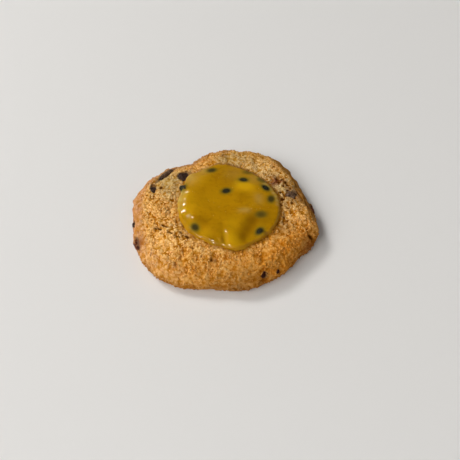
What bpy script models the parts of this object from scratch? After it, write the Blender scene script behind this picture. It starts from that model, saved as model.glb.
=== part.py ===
"""A soft chocolate chunk cookie with a pool of passion fruit curd on top.

Axes: +X to the right and +Y to the back as the cookie is looked at, +Z up. The origin is the
middle of the flat underside. Everything is in metres.

The dough body is one solid with a shallow well for the curd and a pocket for each piece of
chocolate. The curd is one solid, with its seeds joined on. Each piece of chocolate is a solid.
"""

import math

import bmesh
import bpy
import numpy as np
from mathutils import Matrix, Vector, noise

MM = 0.001
GAP = 0.3 * MM  # left between pieces that touch

# ---- dough body -------------------------------------------------------------------------
BODY_RADIUS = 50.6 * MM
EDGE_HEIGHT = 4.8 * MM  # where the wall stands out furthest
SHOULDER_HEIGHT = 16.2 * MM  # the crown, if it had no well
SHOULDER_POWER = 8.0  # how square the upper edge is
UNDERCUT = 3.4 * MM  # how far the wall tucks in below EDGE_HEIGHT
WAVINESS = 0.45 * MM  # slow wander of the outline

# Bulges and dents of the outline: (direction in degrees, amount, half width in degrees)
BODY_LOBES = (
    (19, -1.6 * MM, 5),
    (52, 1.8 * MM, 10),
    (90, -1.1 * MM, 13),
    (121, -7.4 * MM, 14),
    (169, 2.5 * MM, 17),
    (223, 4.3 * MM, 18),
    (265, -2.3 * MM, 8),
    (345, 5.0 * MM, 10),
)

# The dent at the back runs inwards over the shoulder as a shallow valley
VALLEY_DIRECTION = 121
VALLEY_HALF_WIDTH = 9
VALLEY_DEPTH = 1.6 * MM
VALLEY_FROM = 0.62  # shares of the radius between which it deepens
VALLEY_TO = 0.90

# On the right the crust sinks beside the curd: shares are of the curd's radius
MOAT_DIRECTION = 352
MOAT_HALF_WIDTH = 48
MOAT_DEPTH = 1.3 * MM
MOAT_SHARE = 1.10
MOAT_SHARE_WIDTH = 0.11

# ---- relief of the crust ----------------------------------------------------------------
SWELL_SIZE = 17.0 * MM
SWELL_HEIGHT = 0.75 * MM
LUMP_SIZE = 5.2 * MM
LUMP_HEIGHT = 2.1 * MM
LUMP_MEAN = 0.42  # mean distance to the nearest lump's middle, as a share of LUMP_SIZE
CRUMB_SIZE = 2.9 * MM
CRUMB_HEIGHT = 1.2 * MM
RELIEF_FROM = 0.86  # shares of the curd's radius between which the relief sets in
RELIEF_TO = 1.00
RELIEF_FOOT = 0.25  # share of EDGE_HEIGHT below which the wall is smooth

# ---- curd -------------------------------------------------------------------------------
CURD_CENTRE = Vector((2.9 * MM, -1.5 * MM, 0.0))
CURD_RADIUS = 29.0 * MM
CURD_LOBES = (
    (3, -0.7 * MM, 6),
    (43, -1.1 * MM, 23),
    (107, 3.0 * MM, 13),
    (138, 2.5 * MM, 8),
    (280, 2.5 * MM, 8),
)
CURD_TOP = 18.6 * MM  # height of its surface
CURD_EDGE_DROP = 1.3 * MM  # how much lower the surface is at the edge
CURD_EDGE_POWER = 14.0  # how tightly the edge is rounded
CURD_EDGE_FOOT = 11.5 * MM  # the edge is rounded down to this height, below the crust
WELL_FLOOR = 13.4 * MM  # flat, and all under the curd
WELL_FLAT_SHARE = 0.76  # of the curd's radius
WELL_BRIM_SHARE = 1.15

# Slow swells left by the spoon: (x, y, height, half width)
CURD_SWELLS = (
    (0.5 * MM, -24.0 * MM, 1.1 * MM, 6.0 * MM),
    (-15.0 * MM, 14.0 * MM, 0.8 * MM, 7.0 * MM),
    (15.0 * MM, 7.0 * MM, 0.9 * MM, 7.5 * MM),
    (13.0 * MM, -15.0 * MM, -0.9 * MM, 6.0 * MM),
    (-2.0 * MM, 0.0 * MM, -0.5 * MM, 8.0 * MM),
    (-19.0 * MM, -6.0 * MM, 0.5 * MM, 6.0 * MM),
)

# ---- seeds: (x, y, heading in degrees, how far the middle lies below the surface) ---------
SEED_LENGTH = 5.2 * MM
SEED_WIDTH = 3.4 * MM
SEED_THICKNESS = 2.2 * MM
SEED_TAPER = 0.35  # how much narrower the pointed end is
SEEDS = (
    (-8.3 * MM, 22.6 * MM, 10, 0.45 * MM),
    (11.3 * MM, 15.4 * MM, -8, 0.35 * MM),
    (1.3 * MM, 6.7 * MM, 12, 0.30 * MM),
    (23.2 * MM, 9.2 * MM, -40, 0.35 * MM),
    (26.3 * MM, 1.2 * MM, 70, 0.75 * MM),
    (20.8 * MM, -8.9 * MM, 20, 0.80 * MM),
    (20.0 * MM, -21.2 * MM, 60, 0.35 * MM),
    (-15.1 * MM, -19.5 * MM, -50, 0.55 * MM),
    (14.5 * MM, 21.0 * MM, -6, 0.75 * MM),
    (-22.4 * MM, 9.6 * MM, 60, 0.45 * MM),
    (22.2 * MM, 14.6 * MM, -50, 0.75 * MM),
)

# ---- chocolate --------------------------------------------------------------------------
# (direction in degrees, place along the section, (length, width, height), turn in degrees
#  from the rim's direction, how far the middle lies below the crust)
# The place is 0 at the middle of the top, 1 where the wall stands out furthest.
CHUNKS = (
    (144, 0.795, (11.4 * MM, 5.2 * MM, 5.0 * MM), 4, 1.5 * MM),
    (138.5, 0.580, (7.4 * MM, 6.8 * MM, 5.4 * MM), 10, 1.8 * MM),
    (164, 0.730, (4.6 * MM, 3.6 * MM, 4.0 * MM), 60, 1.4 * MM),
    (190, 0.960, (3.4 * MM, 2.6 * MM, 3.4 * MM), 8, 1.2 * MM),
    (205, 0.950, (9.0 * MM, 3.2 * MM, 4.0 * MM), 2, 1.4 * MM),
    (296, 0.900, (4.6 * MM, 3.8 * MM, 4.0 * MM), 30, 1.4 * MM),
    (305, 0.935, (3.0 * MM, 2.8 * MM, 3.0 * MM), 10, 1.0 * MM),
    (11, 0.700, (6.8 * MM, 5.4 * MM, 4.8 * MM), 40, 1.7 * MM),
    (3, 0.960, (7.6 * MM, 3.4 * MM, 4.0 * MM), -4, 1.4 * MM),
)
CHUNK_SQUARENESS = 3.2  # 2 is an ellipsoid, and more is nearer to a block
CHUNK_JITTER = 0.30  # share of its size by which its surface strays
CHUNK_LUMP = 0.75  # size of those strays, as a share of its half size
CHUNK_SEED = 11.0
CURD_REACH = 1.25  # pieces this near the curd, in shares of its radius, also cut it

# ---- fineness of the meshes ---------------------------------------------------------------
BODY_SEGMENTS = 128
RINGS_UNDER_CURD = 6
RINGS_ON_TOP = 15
RINGS_ON_WALL = 7
RINGS_BELOW_EDGE = 3
RINGS_UNDERNEATH = 3
CURD_SEGMENTS = 64
CURD_RINGS = 15
CURD_RINGS_BELOW = 3
CHUNK_CUTS = 2  # cuts across each side of a piece of chocolate
COVERED_SHARE = 0.50  # of the body's radius: well inside the curd's edge
WALL_SHARE = 0.88  # of the body's radius: the wall's rings begin
TURN_STEP = 0.02  # radians, for slopes round the rim
PLACE_STEP = 0.01  # for slopes along the section
FLAT_ANGLE = math.radians(0.02)  # faces this close to one plane are joined


def lobe(angle, direction, half_width):
    """A soft bump over angles: angle is in radians, its direction and half width in degrees."""
    off = (math.degrees(angle) - direction + 180.0) % 360.0 - 180.0
    return math.exp(-0.5 * (off / half_width) ** 2)


def lobed_radius(angle, base, lobes):
    """Radius of an outline in a direction (radians): a circle with soft bulges and dents."""
    bulges = (amount * lobe(angle, direction, width) for direction, amount, width in lobes)
    return base + sum(bulges)


def body_radius(angle):
    """The dough's outline, with a slow wander."""
    wander = noise.noise(Vector((2.2 * math.cos(angle), 2.2 * math.sin(angle), 4.0)))
    return lobed_radius(angle, BODY_RADIUS, BODY_LOBES) + WAVINESS * wander


def smooth_step(low, high, value):
    """0 below low, 1 above high, and a smooth change between."""
    share = min(1.0, max(0.0, (value - low) / (high - low)))
    return share * share * (3.0 - 2.0 * share)


def share_of_curd(x, y):
    """Distance from the curd's middle, as a share of its radius in that direction."""
    dx, dy = x - CURD_CENTRE.x, y - CURD_CENTRE.y
    radius = lobed_radius(math.atan2(dy, dx), CURD_RADIUS, CURD_LOBES)
    return math.hypot(dx, dy) / radius


def top_profile(share):
    """Height of the plain crown at a share of the radius."""
    rise = math.sqrt(max(0.0, 1.0 - min(1.0, share) ** SHOULDER_POWER))
    return EDGE_HEIGHT + (SHOULDER_HEIGHT - EDGE_HEIGHT) * rise


def section_curve():
    """Half section as arrays of radius share and height: top, wall, undercut, underside."""
    share = 1.0 - np.linspace(1.0, 0.0, 400) ** 2
    top = [(s, top_profile(s)) for s in share]
    turn = np.linspace(0.0, math.pi / 2, 40)[1:]
    tuck = UNDERCUT / BODY_RADIUS
    below = [(1.0 - tuck * (1.0 - math.cos(a)), EDGE_HEIGHT * (1.0 - math.sin(a))) for a in turn]
    underside = [(0.5 * (1.0 - tuck), 0.0), (0.0, 0.0)]
    return np.array(top), np.array(below), np.array(underside)


def along(curve, start, count):
    """Count points evenly along a curve that continues from start, its end included."""
    points = np.vstack([start, curve])
    step = np.hypot(np.diff(points[:, 0]) * BODY_RADIUS, np.diff(points[:, 1]))
    length = np.concatenate([[0.0], np.cumsum(step)])
    wanted = np.linspace(0.0, length[-1], count + 1)[1:]
    return np.column_stack([np.interp(wanted, length, points[:, i]) for i in (0, 1)])


def section_rings():
    """The section's points, one for each ring of the mesh, wide apart where nothing shows."""
    top, below, underside = section_curve()
    covered = top[top[:, 0] < COVERED_SHARE]
    visible = top[(top[:, 0] >= COVERED_SHARE) & (top[:, 0] < WALL_SHARE)]
    wall = top[top[:, 0] >= WALL_SHARE]
    rings = [top[:1]]
    stretches = (
        (covered, RINGS_UNDER_CURD),
        (visible, RINGS_ON_TOP),
        (wall, RINGS_ON_WALL),
        (below, RINGS_BELOW_EDGE),
        (underside, RINGS_UNDERNEATH + 1),
    )
    for curve, count in stretches:
        rings.append(along(curve, rings[-1][-1], count))
    return np.vstack(rings)


def top_section_point(place):
    """Radius share and height at a place: 0 at the middle of the top, 1 at the widest point."""
    top = section_curve()[0]
    step = np.hypot(np.diff(top[:, 0]) * BODY_RADIUS, np.diff(top[:, 1]))
    length = np.concatenate([[0.0], np.cumsum(step)]) / step.sum()
    return tuple(float(np.interp(place, length, top[:, i])) for i in (0, 1))


def shaped_point(angle, share, height):
    """A point of the smooth dough body, with its well, valley, moat and slow swells."""
    radius = body_radius(angle) * share
    x, y = radius * math.cos(angle), radius * math.sin(angle)
    from_curd = share_of_curd(x, y)

    valley = VALLEY_DEPTH * lobe(angle, VALLEY_DIRECTION, VALLEY_HALF_WIDTH)
    valley *= smooth_step(VALLEY_FROM, VALLEY_TO, share)
    moat = MOAT_DEPTH * lobe(angle, MOAT_DIRECTION, MOAT_HALF_WIDTH)
    moat *= math.exp(-0.5 * ((from_curd - MOAT_SHARE) / MOAT_SHARE_WIDTH) ** 2)
    swell = SWELL_HEIGHT * noise.noise(Vector((x / SWELL_SIZE, y / SWELL_SIZE, 7.3)))
    height += smooth_step(EDGE_HEIGHT, SHOULDER_HEIGHT, height) * (swell - valley - moat)

    if height > EDGE_HEIGHT:
        dry = smooth_step(WELL_FLAT_SHARE, WELL_BRIM_SHARE, from_curd)
        height = WELL_FLOOR + (height - WELL_FLOOR) * dry
    return Vector((x, y, height))


def crust_relief(point):
    """Height of the lumps and crumbs at a point, about zero on average."""
    near = noise.voronoi(point / LUMP_SIZE)[0][0]
    lumps = LUMP_HEIGHT * (LUMP_MEAN - near)
    crumbs = CRUMB_HEIGHT * noise.noise(point / CRUMB_SIZE)
    return lumps + crumbs


def crust_frame(angle, place):
    """Point on the rough crust, and the smooth crust's outward normal and rim direction."""
    def at(turn, along_section):
        return shaped_point(turn, *top_section_point(along_section))

    here = at(angle, place)
    rimward = (at(angle + TURN_STEP, place) - at(angle - TURN_STEP, place)).normalized()
    outward = (at(angle, place + PLACE_STEP) - at(angle, place - PLACE_STEP)).normalized()
    normal = outward.cross(rimward).normalized()
    return here + normal * crust_relief(here), normal, rimward


def add_object(name, mesh, collection):
    """Links a mesh as a named object."""
    obj = bpy.data.objects.new(name, mesh)
    collection.objects.link(obj)
    return obj


def mesh_from(bm, name):
    """A mesh from bmesh data, with its faces pointing out and shaded smooth."""
    bmesh.ops.recalc_face_normals(bm, faces=bm.faces)
    mesh = bpy.data.meshes.new(name)
    bm.to_mesh(mesh)
    bm.free()
    mesh.shade_smooth()
    mesh.set_sharp_from_angle(angle=math.radians(50))
    return mesh


def ball_grid(segments, rings, place):
    """A ball whose points are moved to place(angle, ring number), pole to pole."""
    bm = bmesh.new()
    bmesh.ops.create_uvsphere(bm, u_segments=segments, v_segments=rings, radius=1.0)
    for vertex in bm.verts:
        polar = math.acos(max(-1.0, min(1.0, vertex.co.z)))
        ring = round(polar / math.pi * rings)
        vertex.co = place(math.atan2(vertex.co.y, vertex.co.x), ring)
    return bm


def dough_body(name):
    """The baked dough: a ball drawn onto the section, then roughened where the crust shows."""
    rings = section_rings()

    def place(angle, ring):
        return shaped_point(angle, *rings[ring])

    bm = ball_grid(BODY_SEGMENTS, len(rings) - 1, place)
    bmesh.ops.recalc_face_normals(bm, faces=bm.faces)
    bm.normal_update()
    moves = []
    for vertex in bm.verts:
        bare = smooth_step(RELIEF_FROM, RELIEF_TO, share_of_curd(vertex.co.x, vertex.co.y))
        if vertex.co.z < EDGE_HEIGHT:
            bare = smooth_step(RELIEF_FOOT * EDGE_HEIGHT, EDGE_HEIGHT, vertex.co.z)
        moves.append(vertex.normal * (bare * crust_relief(vertex.co)))
    for vertex, move in zip(bm.verts, moves):
        vertex.co += move
    bmesh.ops.dissolve_limit(bm, angle_limit=FLAT_ANGLE, verts=bm.verts, edges=bm.edges)
    return mesh_from(bm, name)


def curd_surface(x, y):
    """Height of the curd's top surface."""
    share = share_of_curd(x, y)
    height = CURD_TOP - CURD_EDGE_DROP * min(1.0, share) ** 3
    for at_x, at_y, rise, width in CURD_SWELLS:
        off = math.hypot(x - at_x, y - at_y) / width
        height += rise * math.exp(-0.5 * off * off)
    return height


def curd_pool(name):
    """The curd as a thick disc with a tightly rounded edge that reaches down into the crust."""
    rings = CURD_RINGS + CURD_RINGS_BELOW

    def place(angle, ring):
        upper = ring <= CURD_RINGS
        turn = ring / CURD_RINGS if upper else (rings - ring) / CURD_RINGS_BELOW
        share = math.sin(0.5 * math.pi * turn)
        radius = share * lobed_radius(angle, CURD_RADIUS, CURD_LOBES)
        x = CURD_CENTRE.x + radius * math.cos(angle)
        y = CURD_CENTRE.y + radius * math.sin(angle)
        top = curd_surface(x, y)
        middle = 0.5 * (top + CURD_EDGE_FOOT)
        round_off = math.sqrt(max(0.0, 1.0 - share**CURD_EDGE_POWER))
        half = (top - middle) * round_off
        return Vector((x, y, middle + (half if upper else -half)))

    return mesh_from(ball_grid(CURD_SEGMENTS, rings, place), name)


def seed_mesh(name):
    """A flat pointed oval, the shape of a passion fruit seed."""
    bm = bmesh.new()
    bmesh.ops.create_icosphere(bm, subdivisions=2, radius=0.5)
    for vertex in bm.verts:
        taper = 1.0 - SEED_TAPER * max(0.0, 2.0 * vertex.co.x) ** 2
        size = (SEED_LENGTH, SEED_WIDTH * taper, SEED_THICKNESS)
        vertex.co = Vector(a * b for a, b in zip(vertex.co, size))
    return mesh_from(bm, name)


def curd_tilt(x, y):
    """Rotation that lays a piece flat on the curd's surface."""
    step = MM
    slope_x = (curd_surface(x + step, y) - curd_surface(x - step, y)) / (2 * step)
    slope_y = (curd_surface(x, y + step) - curd_surface(x, y - step)) / (2 * step)
    return Vector((-slope_x, -slope_y, 1.0)).to_track_quat("Z", "Y").to_matrix().to_4x4()


def add_seeds(collection):
    """One object for each seed, just under or through the curd's surface."""
    mesh = seed_mesh("seed")
    for number, (x, y, heading, depth) in enumerate(SEEDS, start=1):
        seed = add_object(f"seed_{number}", mesh, collection)
        middle = Vector((x, y, curd_surface(x, y) - depth))
        turn = Matrix.Rotation(math.radians(heading), 4, "Z")
        seed.matrix_world = Matrix.Translation(middle) @ curd_tilt(x, y) @ turn


def chunk_mesh(name, size, number, grow=0.0):
    """A chopped piece of chocolate, its corners softened by melting, and uneven."""
    bm = bmesh.new()
    bmesh.ops.create_cube(bm, size=2.0)
    bmesh.ops.subdivide_edges(bm, edges=bm.edges, cuts=CHUNK_CUTS, use_grid_fill=True)
    half = Vector(size) / 2
    for vertex in bm.verts:
        roundness = sum(abs(c) ** CHUNK_SQUARENESS for c in vertex.co) ** (1 / CHUNK_SQUARENESS)
        ball = vertex.co / roundness
        elsewhere = Vector((0.0, 0.0, CHUNK_SEED * number))
        stray = 1.0 + CHUNK_JITTER * noise.noise(ball / CHUNK_LUMP + elsewhere)
        vertex.co = Vector(a * (b * stray + grow) for a, b in zip(ball, half))
    bmesh.ops.triangulate(bm, faces=bm.faces)
    return mesh_from(bm, name)


def chunk_matrix(direction, place, turn, depth):
    """Where a piece of chocolate lies: its height points out of the crust."""
    here, normal, rimward = crust_frame(math.radians(direction), place)
    across = normal.cross(rimward)
    frame = Matrix((rimward, across, normal)).transposed().to_4x4()
    spin = Matrix.Rotation(math.radians(turn), 4, "Z")
    return Matrix.Translation(here - normal * depth) @ frame @ spin


def add_chunks(parts, cutters):
    """Each piece of chocolate, and the slightly larger cutter of its pocket."""
    for number, (direction, place, size, turn, depth) in enumerate(CHUNKS, start=1):
        matrix = chunk_matrix(direction, place, turn, depth)
        for name, grow, collection in (
            (f"chocolate_chunk_{number}", 0.0, parts),
            (f"pocket_{number}", GAP, cutters),
        ):
            piece = add_object(name, chunk_mesh(name, size, number, grow), collection)
            piece.matrix_world = matrix


def boolean(obj, operation, collection):
    """Cuts from obj, or joins to it, every object of a collection."""
    modifier = obj.modifiers.new(operation.lower(), "BOOLEAN")
    modifier.operation = operation
    modifier.operand_type = "COLLECTION"
    modifier.collection = collection
    modifier.solver = "EXACT"
    return modifier


def applied(obj):
    """Replaces an object's mesh by its evaluated one, so that no modifier is left."""
    graph = bpy.context.evaluated_depsgraph_get()
    mesh = bpy.data.meshes.new_from_object(obj.evaluated_get(graph))
    obj.modifiers.clear()
    obj.data = mesh
    return obj


def remove_collection(collection):
    """Removes a collection and its objects."""
    for obj in list(collection.objects):
        bpy.data.objects.remove(obj)
    bpy.data.collections.remove(collection)


def new_collection(name, hidden=False):
    """A collection in the scene. Cutters are kept out of renders."""
    collection = bpy.data.collections.new(name)
    collection.hide_render = hidden
    bpy.context.scene.collection.children.link(collection)
    return collection


def material(name, color, roughness):
    """A plain finish."""
    finish = bpy.data.materials.new(name)
    finish.use_nodes = True
    shader = finish.node_tree.nodes["Principled BSDF"]
    shader.inputs["Base Color"].default_value = (*color, 1.0)
    shader.inputs["Roughness"].default_value = roughness
    shader.inputs["Metallic"].default_value = 0.0
    finish.diffuse_color = (*color, 1.0)
    return finish


def dress(obj, finish):
    """Gives an object its one finish."""
    obj.data.materials.clear()
    obj.data.materials.append(finish)


def main():
    """Builds the cookie, its curd and its chocolate."""
    for obj in list(bpy.data.objects):
        bpy.data.objects.remove(obj)

    parts = new_collection("chocolate_chunk_cookie")
    cutters = new_collection("cutters", hidden=True)
    curd_cutters = new_collection("curd_cutters", hidden=True)
    seeds = new_collection("seeds", hidden=True)

    body_mesh = dough_body("cookie_crumb")
    body = add_object("cookie_crumb", body_mesh, parts)
    add_chunks(parts, cutters)
    boolean(body, "DIFFERENCE", cutters)

    raised = add_object("raised_crumb", body_mesh.copy(), curd_cutters)
    raised.location.z = GAP
    for pocket in cutters.objects:
        middle = pocket.matrix_world.translation
        if share_of_curd(middle.x, middle.y) < CURD_REACH:
            curd_cutters.objects.link(pocket)

    curd = add_object("passion_fruit_curd", curd_pool("passion_fruit_curd"), parts)
    add_seeds(seeds)
    boolean(curd, "UNION", seeds)
    bpy.context.view_layer.update()
    applied(curd)
    remove_collection(seeds)
    boolean(curd, "DIFFERENCE", curd_cutters)

    dress(body, material("baked_crumb", (0.56, 0.30, 0.085), 0.85))
    dress(curd, material("passion_fruit_curd", (0.40, 0.19, 0.004), 0.2))
    chocolate = material("dark_chocolate", (0.045, 0.018, 0.016), 0.4)
    for number in range(1, len(CHUNKS) + 1):
        dress(bpy.data.objects[f"chocolate_chunk_{number}"], chocolate)
    for cutter in (*cutters.objects, *curd_cutters.objects):
        cutter.hide_render = True
        cutter.display_type = "WIRE"


main()
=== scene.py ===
"""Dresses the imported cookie: craggy crumb, glossy curd with its seeds, and pieces of chocolate.

Everything is in metres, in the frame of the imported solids: +X right, +Y back, +Z up. Each piece is
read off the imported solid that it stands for, then refined, so it keeps that solid's form.
"""

from __future__ import annotations

import logging
import math
from dataclasses import dataclass, field, replace
from enum import Enum
from typing import Any

import bmesh
import bpy
import numpy as np
from mathutils import Matrix, Vector, noise
from mathutils.bvhtree import BVHTree

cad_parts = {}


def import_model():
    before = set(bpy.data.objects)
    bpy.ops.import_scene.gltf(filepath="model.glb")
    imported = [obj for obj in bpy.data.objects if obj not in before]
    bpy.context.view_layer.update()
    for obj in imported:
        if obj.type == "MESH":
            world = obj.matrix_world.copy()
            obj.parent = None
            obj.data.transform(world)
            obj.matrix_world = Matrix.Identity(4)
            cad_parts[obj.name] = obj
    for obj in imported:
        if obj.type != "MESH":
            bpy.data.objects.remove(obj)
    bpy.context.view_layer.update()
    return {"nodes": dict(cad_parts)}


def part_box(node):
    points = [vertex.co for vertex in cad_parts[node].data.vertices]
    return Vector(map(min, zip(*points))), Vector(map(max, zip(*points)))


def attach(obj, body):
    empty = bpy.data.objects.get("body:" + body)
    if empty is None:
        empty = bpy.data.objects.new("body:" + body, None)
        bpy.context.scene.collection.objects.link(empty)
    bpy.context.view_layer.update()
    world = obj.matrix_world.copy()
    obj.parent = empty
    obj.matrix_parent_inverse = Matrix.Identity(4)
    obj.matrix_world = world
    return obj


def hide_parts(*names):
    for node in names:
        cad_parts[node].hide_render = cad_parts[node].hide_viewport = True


MM = 0.001
BODY = "root"

log = logging.getLogger("cookie")

Span = tuple[float, float]
Color = tuple[float, float, float]
Socket = bpy.types.NodeSocket


class Slot(Enum):
    """The record's material slots."""

    CRUMB = "baked_crumb"
    CURD = "passion_fruit_curd"
    SEED = "passion_fruit_seed"
    CHOCOLATE = "dark_chocolate"


# ---- node trees ---------------------------------------------------------------------------

MIX_FACTOR, MIX_A, MIX_B, MIX_RESULT = 0, 6, 7, 2  # the sockets of a Mix node for colours
MIDDLE_GREY = (0.5, 0.5, 0.5)


class Wiring:
    """Adds nodes to a shader or geometry tree and joins them."""

    def __init__(self, tree: bpy.types.NodeTree) -> None:
        """Starts on a tree.

        Args:
            tree: The tree that gets the nodes.
        """
        self.tree = tree

    def feed(self, socket: Socket, value: Any) -> None:
        """Links another node's output to an input, or sets the input's own value.

        Args:
            socket: The input.
            value: The output, or a plain value. A colour may leave out its alpha.
        """
        if isinstance(value, Socket):
            self.tree.links.new(value, socket)
        elif socket.type == "RGBA" and len(value) == 3:
            socket.default_value = (*value, 1.0)
        else:
            socket.default_value = value

    def node(
        self, kind: str, inputs: dict[str | int, Any] | None = None, **settings: Any
    ) -> bpy.types.Node:
        """Adds a node.

        Args:
            kind: The node's type name.
            inputs: A value or another node's output for each named or numbered input.
            settings: Properties of the node itself.

        Returns:
            The new node.
        """
        node = self.tree.nodes.new(kind)
        for name, value in settings.items():
            setattr(node, name, value)
        for key, value in (inputs or {}).items():
            self.feed(node.inputs[key], value)
        return node

    def math(self, operation: str, *values: Any, clamp: bool = False) -> Socket:
        """The result of a Math node.

        Args:
            operation: The node's operation.
            values: Its inputs, numbers or sockets.
            clamp: Whether the result is kept between 0 and 1.

        Returns:
            The value socket.
        """
        inputs = dict(enumerate(values))
        node = self.node("ShaderNodeMath", inputs, operation=operation, use_clamp=clamp)
        return node.outputs[0]

    def plus(self, a: Any, b: Any, clamp: bool = False) -> Socket:
        """The sum of two numbers."""
        return self.math("ADD", a, b, clamp=clamp)

    def minus(self, a: Any, b: Any, clamp: bool = False) -> Socket:
        """The first number less the second."""
        return self.math("SUBTRACT", a, b, clamp=clamp)

    def times(self, a: Any, b: Any, clamp: bool = False) -> Socket:
        """The product of two numbers."""
        return self.math("MULTIPLY", a, b, clamp=clamp)

    def scaled(self, value: Any, share: float, start: Any) -> Socket:
        """A value times a share, plus a start."""
        return self.math("MULTIPLY_ADD", value, share, start)

    def most(self, first: Any, *others: Any) -> Socket:
        """The largest of several numbers."""
        for other in others:
            first = self.math("MAXIMUM", first, other)
        return first

    def vector(self, operation: str, *values: Any) -> Socket:
        """The vector result of a Vector Math node.

        Args:
            operation: The node's operation.
            values: Its inputs, vectors or sockets.

        Returns:
            The vector socket.
        """
        node = self.node("ShaderNodeVectorMath", operation=operation)
        for number, value in enumerate(values):
            is_scale = operation == "SCALE" and number == 1
            self.feed(node.inputs["Scale" if is_scale else number], value)
        return node.outputs["Vector"]

    def dot(self, a: Any, b: Any) -> Socket:
        """The dot product of two vectors."""
        inputs = dict(enumerate((a, b)))
        node = self.node("ShaderNodeVectorMath", inputs, operation="DOT_PRODUCT")
        return node.outputs["Value"]

    def named(self, name: str) -> Socket:
        """A number stored on the points that a geometry tree works on."""
        kind = "GeometryNodeInputNamedAttribute"
        return self.node(kind, {"Name": name}, data_type="FLOAT").outputs["Attribute"]

    def attribute(self, name: str) -> Socket:
        """A number stored on the points of the mesh that a material covers."""
        return self.node("ShaderNodeAttribute", attribute_name=name).outputs["Fac"]

    def store(self, geometry: Socket, name: str, value: Socket, domain: str = "POINT") -> Socket:
        """Stores a number on a geometry.

        Args:
            geometry: The geometry.
            name: The attribute's name.
            value: Its value.
            domain: Where it is stored, on points or on instances.

        Returns:
            The geometry with the attribute.
        """
        inputs = {"Geometry": geometry, "Name": name, "Value": value}
        kind = "GeometryNodeStoreNamedAttribute"
        return self.node(kind, inputs, data_type="FLOAT", domain=domain).outputs[0]

    def fade(self, value: Socket, low: float, high: float) -> Socket:
        """A smooth step from 0 at low to 1 at high, or the other way round if low is the larger.

        Args:
            value: What is measured.
            low: Where the result is 0.
            high: Where the result is 1.

        Returns:
            The value socket.
        """
        flip = low > high
        inputs = {
            "Value": value,
            "From Min": min(low, high),
            "From Max": max(low, high),
            "To Min": 1.0 if flip else 0.0,
            "To Max": 0.0 if flip else 1.0,
        }
        return self.node("ShaderNodeMapRange", inputs, interpolation_type="SMOOTHSTEP").outputs[0]

    def scale_of(self, size: float | Socket) -> float | Socket:
        """A texture's scale for features of a size in metres."""
        return self.math("DIVIDE", 1.0, size) if isinstance(size, Socket) else 1.0 / size

    def noise(self, at: Socket, size: float | Socket, detail: float = 2.0) -> Socket:
        """Smooth noise from 0 to 1.

        Args:
            at: The position.
            size: The size of its features, in metres.
            detail: How many finer octaves it has.

        Returns:
            The value socket.
        """
        inputs = {"Vector": at, "Scale": self.scale_of(size), "Detail": detail, "Roughness": 0.55}
        return self.node("ShaderNodeTexNoise", inputs).outputs[0]

    def stray(self, at: Socket, size: float, detail: float) -> Socket:
        """A smooth random vector, each part of it from -0.5 to 0.5.

        Args:
            at: The position.
            size: The size of its features, in metres.
            detail: How many finer octaves it has.

        Returns:
            The vector socket.
        """
        inputs = {"Vector": at, "Scale": self.scale_of(size), "Detail": detail}
        color = self.node("ShaderNodeTexNoise", inputs).outputs["Color"]
        return self.vector("SUBTRACT", color, MIDDLE_GREY)

    def cells(self, at: Socket, size: float | Socket, smoothness: float = 0.0) -> Socket:
        """Distance to the nearest of scattered points, about 0 to 0.8.

        Args:
            at: The position.
            size: The spacing of the points, in metres.
            smoothness: How softly neighbouring cells meet.

        Returns:
            The value socket.
        """
        inputs = {"Vector": at, "Scale": self.scale_of(size)}
        if smoothness:
            inputs["Smoothness"] = smoothness
        feature = "SMOOTH_F1" if smoothness else "F1"
        return self.node("ShaderNodeTexVoronoi", inputs, feature=feature).outputs["Distance"]

    def blend(self, share: Socket | float, a: Any, b: Any, mode: str = "MIX") -> Socket:
        """A colour mixed from two others.

        Args:
            share: How much of b there is.
            a: The colour under it, a tuple or a socket.
            b: The colour over it, a tuple or a socket.
            mode: The way they blend.

        Returns:
            The colour socket.
        """
        inputs = {MIX_FACTOR: share, MIX_A: a, MIX_B: b}
        node = self.node("ShaderNodeMix", inputs, data_type="RGBA", blend_type=mode)
        return node.outputs[MIX_RESULT]

    def ramp(self, value: Socket, colors: tuple[Color, ...]) -> Socket:
        """A colour read from an even run of colours.

        Args:
            value: The place along the run, 0 to 1.
            colors: The colours, in order.

        Returns:
            The colour socket.
        """
        node = self.node("ShaderNodeValToRGB", {0: value})
        elements = node.color_ramp.elements
        while len(elements) < len(colors):
            elements.new(0.5)
        for number, (element, color) in enumerate(zip(elements, colors)):
            element.position = number / (len(colors) - 1)
            element.color = (*color, 1.0)
        return node.outputs["Color"]

    def bump(self, shader: bpy.types.Node, height: Socket, depth: float) -> None:
        """Feeds a height, in shares of depth, to a shader's normal."""
        node = self.node("ShaderNodeBump", {"Height": height, "Distance": depth, "Strength": 1.0})
        self.feed(shader.inputs["Normal"], node.outputs["Normal"])


def node_group(
    name: str, inputs: dict[str, float | None], outputs: dict[str, str]
) -> tuple[Wiring, bpy.types.Node, bpy.types.Node]:
    """An empty shader node group with named sockets.

    Args:
        name: The group's name.
        inputs: Default value of each input; None makes a vector.
        outputs: Kind of each output, such as Float.

    Returns:
        Its wiring, its input node and its output node.
    """
    tree = bpy.data.node_groups.new(name, "ShaderNodeTree")
    for label, default in inputs.items():
        kind = "NodeSocketVector" if default is None else "NodeSocketFloat"
        socket = tree.interface.new_socket(name=label, in_out="INPUT", socket_type=kind)
        if default is not None:
            socket.default_value = default
    for label, kind in outputs.items():
        tree.interface.new_socket(name=label, in_out="OUTPUT", socket_type=f"NodeSocket{kind}")
    wiring = Wiring(tree)
    return wiring, wiring.node("NodeGroupInput"), wiring.node("NodeGroupOutput")


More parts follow.
